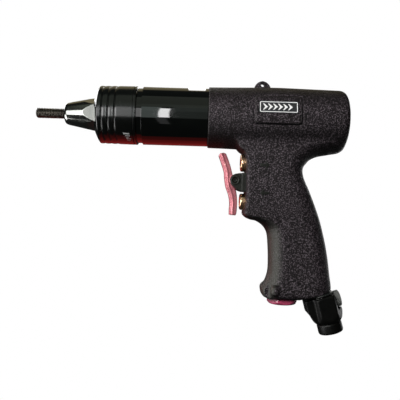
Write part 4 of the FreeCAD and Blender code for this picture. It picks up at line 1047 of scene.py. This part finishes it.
def eye_field(p):
    """A low hill on the body with a drilled round boss."""
    x, z = p[:, 0] - EYE_X, p[:, 2]
    hill = np.hypot(x, (z - EYE_FOOT) * EYE_HILL_SQUASH) - EYE_HILL_RADIUS
    flat = smooth_max(hill, EYE_BASE - z, 0.4) + EYE_ROUNDING
    solid = rounded_join(flat, np.abs(p[:, 1]) - EYE_HALF + EYE_ROUNDING, EYE_ROUNDING)
    around = np.hypot(x, z - EYE_Z)
    boss = smooth_max(around - EYE_BOSS_RADIUS, np.abs(p[:, 1]) - EYE_BOSS_HALF, 0.5)
    solid = smooth_min(solid, boss, 0.4)
    return smooth_max(solid, -(around - EYE_HOLE_RADIUS), 0.35)


EYE_LOW, EYE_HIGH = (147.5, -2.5, 21.5), (161.5, 2.5, 30.2)
eye = field_object("hanging_eye_lug", eye_field, EYE_LOW, EYE_HIGH, FINE_STEP, sharp=45.0)
finish_piece(eye, "moulding", "housing", "hanging_eye")

# ---- trigger group

TRIGGER_FRONT = [
    (130.9, -76.0), (130.8, -72.0), (131.0, -66.4), (129.8, -60.0), (127.6, -54.2), (126.5, -48.0),
    (125.8, -42.0), (123.6, -35.6), (121.4, -29.6),
]
TRIGGER_BACK = [
    (127.3, -28.2), (130.2, -35.5), (132.4, -43.0), (134.4, -52.0), (136.2, -58.5), (137.0, -66.0),
    (136.7, -74.0), (135.9, -76.3),
]
TRIGGER_TIP = [(122.4, -27.9), (125.4, -27.3)]
trigger_front_line = smooth_line(TRIGGER_FRONT, 5)
trigger_outline = np.vstack([trigger_front_line, TRIGGER_TIP, smooth_line(TRIGGER_BACK, 5)])

PIVOT_X, _, PIVOT_Z = joint_point("trigger_rock")
TRIGGER_HALF, TRIGGER_GAIN, TRIGGER_GAIN_DEPTH = 3.55, 0.45, 2.4
TRIGGER_ROUNDING = 0.7
# Beads along the side of the bar: height, depth behind the front edge, and spread.
TRIGGER_BEADS = ((0.4, 2.6, 0.62), (0.2, 0.8, 0.5))
TRIGGER_HUB_RADIUS, TRIGGER_HUB_HALF, TRIGGER_HOLE_RADIUS = 3.9, 4.5, 1.56


def open_line_distance(x, z, line):
    """Distance to a line of points."""
    best = np.full(x.shape, FAR)
    for a, b in zip(line[:-1], line[1:]):
        edge = b - a
        t = np.clip(((x - a[0]) * edge[0] + (z - a[1]) * edge[1]) / (edge @ edge), 0, 1)
        best = np.minimum(best, np.hypot(x - a[0] - edge[0] * t, z - a[1] - edge[1] * t))
    return best


def trigger_field(p):
    """The trigger bar with a bead along each side, and its hub."""
    x, y, z = p[:, 0], np.abs(p[:, 1]), p[:, 2]
    depth = open_line_distance(x, z, trigger_front_line)
    flat = polygon_distance(x, z, trigger_outline)
    half = TRIGGER_HALF + TRIGGER_GAIN * smooth_step(depth / TRIGGER_GAIN_DEPTH)
    for height, place, spread in TRIGGER_BEADS:
        half = half + height * np.exp(-(((depth - place) / spread) ** 2))
    bar = rounded_join(flat + TRIGGER_ROUNDING, (y - half) * 0.9 + TRIGGER_ROUNDING, TRIGGER_ROUNDING)
    around = np.hypot(x - PIVOT_X, z - PIVOT_Z)
    hub = smooth_max(around - TRIGGER_HUB_RADIUS, y - TRIGGER_HUB_HALF, 0.3)
    return np.maximum(smooth_min(bar, hub, 0.8), TRIGGER_HOLE_RADIUS - around)


TRIGGER_LOW, TRIGGER_HIGH = (120.5, -4.6, -77), (139, 4.6, -27)
trigger = field_object("trigger_lever", trigger_field, TRIGGER_LOW, TRIGGER_HIGH, PART_STEP, sharp=55.0)
finish_piece(trigger, "rose_trigger", "trigger", "trigger")

BRACKET = [
    (146.0, -57.6), (139.3, -57.6), (136.9, -56.8), (134.6, -54.7), (132.4, -53.4), (131.0, -51.4),
    (130.4, -48.9), (130.9, -46.5), (132.4, -44.7), (134.6, -43.6), (138.0, -43.0), (146.0, -42.7),
]


EAR_MIDDLE, EAR_HALF, EAR_ROUNDING = 6.05, 1.2, 0.65
ROOT_START, ROOT_HALF = 140.2, 7.4
EAR_HUB_RADIUS, EAR_HUB_MIDDLE, EAR_HUB_HALF = 3.7, 6.25, 1.4
EAR_FACE = EAR_HUB_MIDDLE + EAR_HUB_HALF
COUNTERSINK_RADIUS, COUNTERSINK_SLOPE, EAR_HOLE_RADIUS = 2.5, 1.4, 1.53


def bracket_field(p):
    """Two ears on one root, each with a hub that is countersunk round the pin."""
    x, y, z = p[:, 0], np.abs(p[:, 1]), p[:, 2]
    flat = polygon_distance(x, z, BRACKET)
    arm = rounded_join(flat + 0.8, np.abs(y - EAR_MIDDLE) - EAR_HALF + 0.5, EAR_ROUNDING)
    root = smooth_max(np.maximum(flat, ROOT_START - x), y - ROOT_HALF, 0.5)
    around = np.hypot(x - PIVOT_X, z - PIVOT_Z)
    hub = smooth_max(around - EAR_HUB_RADIUS, np.abs(y - EAR_HUB_MIDDLE) - EAR_HUB_HALF, 0.4)
    solid = smooth_min(smooth_min(arm, root, 0.6), hub, 0.2)
    countersink = around - COUNTERSINK_RADIUS + COUNTERSINK_SLOPE * (EAR_FACE - y)
    return np.maximum(smooth_max(solid, -countersink, 0.2), EAR_HOLE_RADIUS - around)


BRACKET_LOW, BRACKET_HIGH = (129.9, -7.8, -58.2), (146.2, 7.8, -42)
bracket = field_object("trigger_bracket_ears", bracket_field, BRACKET_LOW, BRACKET_HIGH, PART_STEP)
finish_piece(bracket, "painted_black", "housing", "trigger_bracket", slot="black_steel")


socket_flat = hexagon_limit(0.8, 0.0)


def pin_shape(x, r, angle):
    """A hexagonal socket in each end of the pin."""
    return min(r, socket_flat(angle)) if 6.0 < abs(x) < 7.9 and 0.5 < r < 1.0 else r


pin_half = [(7.5, 1.5), (7.8, 1.25), (7.75, 0.95), (6.4, 0.95), (6.4, 0.0)]
pin_outline = [(-x, r, 0.1) for x, r in reversed(pin_half)] + [(x, r, 0.1) for x, r in pin_half]
pin = lathe("trigger_pin_socketed", pin_outline, 60, steps=2, shape=pin_shape)
pin_place = Matrix.Translation((PIVOT_X * MM, 0, PIVOT_Z * MM))
move_mesh(pin, pin_place @ Matrix.Rotation(math.pi / 2, 4, "Z"))
finish_piece(pin, "painted_black", "housing", "trigger_pin", slot="dark_steel")

# ---- valves


def valve_pieces(name, radius, height):
    """Brass bushing and steel plunger of one valve. A groove in the bushing holds its O-ring."""
    body, groove = radius - 0.02, radius - 1.3
    outline = [
        (139.5, 3.36), (138.9, 3.9, 0.2), (138.75, 4.9, 0.3), (138.75, radius - 1.0, 0.5),
        (139.3, radius - 0.1, 0.5), (140.6, radius), (147.0, body, 0.1), (147.0, groove), (148.9, groove),
        (148.9, body, 0.1), (158.0, body, 0.4), (158.0, 4.7, 0.2), (149.2, 4.7), (149.2, 3.36),
    ]
    bushing = lathe(name + "_bushing_turned", outline, 96)
    move_mesh(bushing, Matrix.Translation((0, 0, height * MM)))
    finish_piece(bushing, "brass", "housing", name + "_bushing")
    rod = [
        (140.4, 0.0), (140.4, 1.0, 0.2), (139.65, 1.5, 0.3), (139.6, 2.7, 0.3), (140.2, 3.3, 0.2),
        (151.5, 3.3, 0.1), (151.5, 4.4, 0.1), (151.9, 4.4, 0.1), (152.0, 2.0, 0.1), (156.0, 2.0, 0.3),
        (156.0, 0.0),
    ]
    plunger = lathe(name + "_plunger_turned", rod, 64)
    move_mesh(plunger, Matrix.Translation((0, 0, height * MM)))
    finish_piece(plunger, "bright_steel", name + "_plunger", name + "_plunger")


valve_pieces("reverse", 6.95, VALVE_HEIGHTS["reverse"])
valve_pieces("forward", 6.45, VALVE_HEIGHTS["forward"])

# ---- exhaust

CAP_TOP, CAP_HEIGHT = -140.1, 4.35
CAP_HALF_FLATS, CAP_TURN = 10.9, 37.4
CAP_CORNER_RADIUS, CAP_BEVEL_START, CAP_BEVEL_SLOPE = 12.3, 2.2, 0.9
SPIGOT_RADIUS, SPIGOT_TOP, SPIGOT_FOOT = 9.4, -132.1, -140.6
CUP_RADIUS, CUP_FLOOR = 7.0, -138.4
VENTS, VENT_CIRCLE, VENT_RADIUS = 6, 5.0, 1.1
RING_RADIUS, RING_HALF, RING_TOP = 8.4, 0.35, -144.0


def cap_field(p):
    """Hexagonal plug with a hollow spigot, a ring of vents and a turned ring on its face."""
    x, y, z = p[:, 0] - EXHAUST_X, p[:, 1], p[:, 2]
    r = np.hypot(x, y)
    hexagon = hexagon_distance(x, y, CAP_HALF_FLATS, CAP_TURN)
    depth = -z + CAP_TOP
    bevel = (r - CAP_CORNER_RADIUS + CAP_BEVEL_SLOPE * np.maximum(depth - CAP_BEVEL_START, 0)) * 0.75
    head = smooth_max(smooth_max(hexagon, bevel, 0.5), np.maximum(-depth, depth - CAP_HEIGHT), 0.5)
    spigot = np.maximum(r - SPIGOT_RADIUS, np.maximum(z - SPIGOT_TOP, SPIGOT_FOOT - z))
    cup = np.maximum(r - CUP_RADIUS, CUP_FLOOR - z)
    solid = np.maximum(np.minimum(head, spigot), -cup)
    for k in range(VENTS):
        angle = math.radians(360 / VENTS * k)
        away = np.hypot(x - VENT_CIRCLE * math.cos(angle), y - VENT_CIRCLE * math.sin(angle))
        solid = smooth_max(solid, VENT_RADIUS - away, 0.3)
    ring = smooth_max(np.abs(r - RING_RADIUS) - RING_HALF, -144.1 - z, 0.2)
    return smooth_max(solid, -np.maximum(ring, z - RING_TOP), 0.2)


CAP_LOW, CAP_HIGH = (161.8, -13, -144.6), (187.8, 13, -131.8)
cap = field_object("exhaust_plug", cap_field, CAP_LOW, CAP_HIGH, PART_STEP, sharp=40.0)
finish_piece(cap, "exhaust_red", "housing", "exhaust_cap")

# ---- air inlet

inlet_matrix = Matrix(
    (
        (INLET_DIR[0], 0.0, INLET_SIDE[0], INLET_POINT[0] * MM),
        (0.0, 1.0, 0.0, 0.0),
        (INLET_DIR[2], 0.0, INLET_SIDE[2], INLET_POINT[2] * MM),
        (0.0, 0.0, 0.0, 1.0),
    )
)
KNOB_STATION, KNOB_SEAT = 3.7, 8.2
SWIVEL_HALF = 11.3
# Distance along the inlet and radius of the turned envelope, then along and across the shoulder.
SWIVEL_ENVELOPE = [(-1.2, -1.0), (-1.2, 11.6), (0.2, 13.2), (13.5, 13.2), (17.6, 11.5), (20.0, 9.7)]
SWIVEL_ENVELOPE += [(20.0, -1.0)]
SHOULDER = [(-1.2, 2.0), (-1.2, -15.2), (8.4, -15.2), (17.6, -10.4), (19.2, -8.8), (19.2, 2.0)]
SHOULDER_HALF, SHOULDER_ROUNDING = 7.5, 1.0
STEM_HOLE_RADIUS, STEM_HOLE_FLOOR = 2.05, 6.35
POCKET_END = 10.9
SWIVEL_BORE, SWIVEL_CHAMBER, CHAMBER_START = 6.05, 8.3, 11.0
SWIVEL_STEP = 0.38


def swivel_field(p):
    """Hexagonal swivel body with a shoulder in front and a milled pocket for the knob behind."""
    s, y, u = p[:, 0], p[:, 1], p[:, 2]
    r = np.hypot(y, u)
    envelope = polygon_distance(s, r, SWIVEL_ENVELOPE)
    solid = smooth_max(hexagon_distance(y, u, SWIVEL_HALF), envelope, 0.7)
    solid = smooth_min(solid, rounded_slab(p, SHOULDER, SHOULDER_HALF, SHOULDER_ROUNDING), 0.9)
    pocket = np.maximum(s - POCKET_END, KNOB_SEAT - u)
    solid = smooth_max(solid, -pocket, 0.4)
    stem = np.maximum(np.hypot(s - KNOB_STATION, y) - STEM_HOLE_RADIUS, STEM_HOLE_FLOOR - u)
    chamber = np.maximum(r - SWIVEL_CHAMBER, CHAMBER_START - s)
    for cut in (stem, r - SWIVEL_BORE, chamber):
        solid = np.maximum(solid, -cut)
    return solid


SWIVEL_LOW, SWIVEL_HIGH = (-1.4, -13.6, -15.6), (20.2, 13.6, 13.6)
swivel = field_object("swivel_block", swivel_field, SWIVEL_LOW, SWIVEL_HIGH, SWIVEL_STEP, sharp=42.0)
move_mesh(swivel, inlet_matrix)
finish_piece(swivel, "rubberised", "swivel", "swivel_body", slot="black_steel")

SOCKET_TURNS, SOCKET_PITCH, SOCKET_FIRST_TURN = 14, 0.7, 27.6
socket_outline = [
    (15.2, 7.0), (15.2, 8.25, 0.2), (20.1, 8.25), (20.1, 9.2, 0.3), (21.0, 9.75, 0.5), (27.2, 9.75, 0.5),
    (28.2, 9.2, 0.5), (28.2, 6.6, 0.4),
]
for i in range(SOCKET_TURNS):
    base = SOCKET_FIRST_TURN - SOCKET_PITCH * i
    socket_outline += [(base, 5.82), (base - SOCKET_PITCH / 2, 6.35)]
socket_outline += [(17.3, 5.9), (17.2, 7.0)]
socket_piece = lathe("hose_socket_turned", socket_outline, 128)
move_mesh(socket_piece, inlet_matrix)
finish_piece(socket_piece, "rubberised", "swivel", "hose_socket", slot="black_steel")

bushing_outline = [
    (-18.0, 4.0), (-18.0, 7.0, 0.5), (-3.3, 6.95), (-3.3, 8.2, 0.3), (-1.6, 8.2, 0.3), (-1.6, 6.0),
    (12.4, 6.0), (12.4, 5.2), (13.7, 5.2), (13.7, 6.0, 0.2), (14.8, 6.0, 0.3), (14.8, 4.0, 0.2),
]
inlet_bushing = lathe("inlet_bushing_turned", bushing_outline, 96)
move_mesh(inlet_bushing, inlet_matrix)
finish_piece(inlet_bushing, "bright_steel", "housing", "inlet_bushing")

KNURLS, KNURL_PITCH, KNURL_DEPTH, KNURL_LIFT = 40, 1.05, 0.42, 0.08
KNURL_ROOT, KNURL_START, KNURL_END, KNOB_RADIUS = 6.2, 0.8, 4.2, 6.42


def knurled(x, r, angle):
    """Diamond knurl on the rim of the flow knob."""
    if r < KNURL_ROOT or not KNURL_START < x < KNURL_END:
        return r
    turn = angle * KNURLS / (2 * math.pi)
    first = abs(((turn + x / KNURL_PITCH) % 1.0) - 0.5)
    second = abs(((turn - x / KNURL_PITCH) % 1.0) - 0.5)
    return r - KNURL_DEPTH * (1.0 - 2.0 * min(first, second)) + KNURL_LIFT


knob_outline = [(-1.6, 0.0), (-1.6, 2.0, 0.2), (0.3, 2.0), (0.3, 5.8, 0.2), (0.7, 6.3, 0.1)]
knob_outline += even_rows((KNURL_START, KNOB_RADIUS), (KNURL_END, KNOB_RADIUS), 0.14)
knob_outline += [(4.3, 6.3, 0.1), (4.7, 5.8, 0.2), (4.7, 4.8, 0.2), (4.3, 4.4, 0.3), (4.3, 0.0)]
knob = lathe("flow_knob_knurled", knob_outline, 240, steps=2, sharp=40.0, shape=knurled)
knob_centre = INLET_POINT + INLET_DIR * KNOB_STATION + INLET_SIDE * KNOB_SEAT
knob_frame = np.stack([INLET_SIDE, INLET_DIR, np.cross(INLET_SIDE, INLET_DIR)], axis=1)
knob_rows = [(*[float(v) for v in row], float(at) * MM) for row, at in zip(knob_frame, knob_centre)]
move_mesh(knob, Matrix(knob_rows + [(0.0, 0.0, 0.0, 1.0)]))
finish_piece(knob, "knob_grey", "knob", "regulator_knob")

# ---- studio

WHITE = (1.0, 1.0, 1.0, 1.0)
AMBIENT_COLOUR, AMBIENT_STRENGTH = (0.9, 1.0, 0.98, 1.0), 0.035
FLOOR_HALF, FLOOR_Z = 3000.0, -320.0


def background(tree, colour, strength):
    node = tree.nodes.new("ShaderNodeBackground")
    node.inputs["Color"].default_value = colour
    node.inputs["Strength"].default_value = strength
    return node.outputs["Background"]


def make_world():
    """White to the camera and a faint even light to everything else."""
    world = bpy.data.worlds.new("studio")
    bpy.context.scene.world = world
    world.use_nodes = True
    tree = world.node_tree
    ray = tree.nodes.new("ShaderNodeLightPath")
    choose = tree.nodes.new("ShaderNodeMixShader")
    tree.links.new(ray.outputs["Is Camera Ray"], choose.inputs["Fac"])
    tree.links.new(background(tree, AMBIENT_COLOUR, AMBIENT_STRENGTH), choose.inputs[1])
    tree.links.new(background(tree, WHITE, 1.0), choose.inputs[2])
    tree.links.new(choose.outputs["Shader"], tree.nodes["World Output"].inputs["Surface"])


def make_floor():
    """A pale floor that only the camera sees."""
    material = bpy.data.materials.new("pale_floor")
    material.use_nodes = True
    tree = material.node_tree
    tree.nodes.remove(tree.nodes["Principled BSDF"])
    glow = tree.nodes.new("ShaderNodeEmission")
    glow.inputs["Color"].default_value = WHITE
    tree.links.new(glow.outputs["Emission"], tree.nodes["Material Output"].inputs["Surface"])
    corners = [(x * FLOOR_HALF, y * FLOOR_HALF, FLOOR_Z) for x, y in ((-1, -1), (1, -1), (1, 1), (-1, 1))]
    floor = mesh_object("floor", corners, [(0, 1, 2, 3)])
    floor.data.materials.append(material)
    floor.visible_diffuse = False
    floor.visible_glossy = False
    floor.visible_shadow = False
    floor.visible_transmission = False


make_world()
make_floor()


def area(name, place, target, size, power, colour=(1.0, 1.0, 1.0)):
    """A soft rectangular light, with its place, target and size in metres."""
    light = bpy.data.lights.new(name, "AREA")
    light.shape = "RECTANGLE"
    light.size, light.size_y = size
    light.energy = power
    light.color = colour
    obj = bpy.data.objects.new(name, light)
    bpy.context.scene.collection.objects.link(obj)
    obj.location = place
    direction = Vector(target) - Vector(place)
    obj.rotation_euler = direction.to_track_quat("-Z", "Y").to_euler()
    obj.visible_camera = False
    return obj


def soft(name, place, size, power):
    """A light aimed at the middle of the tool, which leaves no reflection."""
    area(name, place, MIDDLE, size, power).visible_glossy = False


def card(name, place, target, size, power, colour=(1.0, 1.0, 1.0)):
    """A light that is only seen as a reflection."""
    area(name, place, target, size, power, colour).visible_diffuse = False


def front_band(name, x, z, size, power, colour=(1.0, 1.0, 1.0)):
    """A card facing the near side of the tool squarely, which gives a band across the barrel."""
    card(name, (x, -0.5, z), (x, 0.0, z), size, power, colour)


MIDDLE = (0.10, 0.0, -0.04)
RED, WARM = (1.0, 0.02, 0.015), (1.0, 0.85, 0.5)
soft("key", (-0.42, -0.70, 0.50), (0.7, 0.5), 17.0)
soft("fill", (0.1, -0.85, 0.4), (0.6, 0.6), 1.2)
soft("rim_back", (0.35, 0.7, 0.4), (0.6, 0.3), 4.0)
soft("back_fill", (0.2, 0.9, 0.0), (0.6, 0.6), 7.0)
soft("rear_fill", (0.66, 0.76, 0.2), (0.4, 0.6), 9.0)
card("back_card", (-0.5, 0.65, 0.3), (0.06, 0.0, 0.0), (0.5, 0.3), 2.2)
card("back_grip_card", (0.6, 0.65, 0.0), (0.16, 0.0, -0.08), (0.3, 0.5), 1.2)
front_band("front_card", -0.077, 0.06, (0.125, 0.33), 0.27)
front_band("strip", 0.0445, 0.053, (0.018, 0.31), 0.26)
front_band("strip_low", 0.039, -0.24, (0.018, 0.27), 0.006)
front_band("band_card", 0.012, 0.07, (0.05, 0.38), 0.06, (0.85, 1.0, 0.95))
front_band("band_rear", 0.092, 0.08, (0.07, 0.4), 0.022, (0.85, 1.0, 0.9))
card("nose_box", (-0.33, -0.52, 0.045), (0.01, 0.0, 0.0), (0.34, 0.36), 3.2)
card("overhead", (0.1, -0.35, 0.45), (0.1, 0.0, 0.0), (0.9, 0.5), 0.4, (0.9, 1.0, 0.82))
card("overhead_low", (0.1, -0.62, 0.3), (0.1, 0.0, 0.0), (0.9, 0.32), 0.11, (0.85, 1.0, 0.9))
card("grip_card", (-0.40, -0.14, -0.26), (0.16, 0.0, -0.10), (0.22, 0.34), 2.2)
card("facet_card", (0.52, 0.25, -0.18), (0.21, 0.0, -0.15), (0.16, 0.16), 0.1)
card("red_below", (0.062, 0.010, -0.09), (0.062, 0.010, 0.0), (0.108, 0.034), 0.004, RED)
card("red_deep", (0.060, 0.065, -0.105), (0.060, -0.1, -0.105), (0.112, 0.13), 0.03, RED)
card("warm_above", (0.09, 0.20, 0.22), (0.09, 0.0, 0.0), (0.5, 0.2), 0.14, WARM)
card("top_glint", (0.100, 0.22, 0.15), (0.100, 0.0, 0.02), (0.022, 0.26), 0.08)

CAMERA_PLACE, CAMERA_LENS = (0.1078, -0.411, -0.0650), 46.8
ROLL = math.radians(1.7)
camera_data = bpy.data.cameras.new("camera")
camera_data.lens = CAMERA_LENS
camera_data.sensor_width = 36.0
camera_data.clip_start = 0.01
camera = bpy.data.objects.new("camera", camera_data)
bpy.context.scene.collection.objects.link(camera)
camera.matrix_world = Matrix(
    (
        (math.cos(ROLL), -math.sin(ROLL), 0.0, CAMERA_PLACE[0]),
        (0.0, 0.0, -1.0, CAMERA_PLACE[1]),
        (math.sin(ROLL), math.cos(ROLL), 0.0, CAMERA_PLACE[2]),
        (0.0, 0.0, 0.0, 1.0),
    )
)
bpy.context.scene.camera = camera
bpy.context.scene.view_settings.view_transform = "Standard"
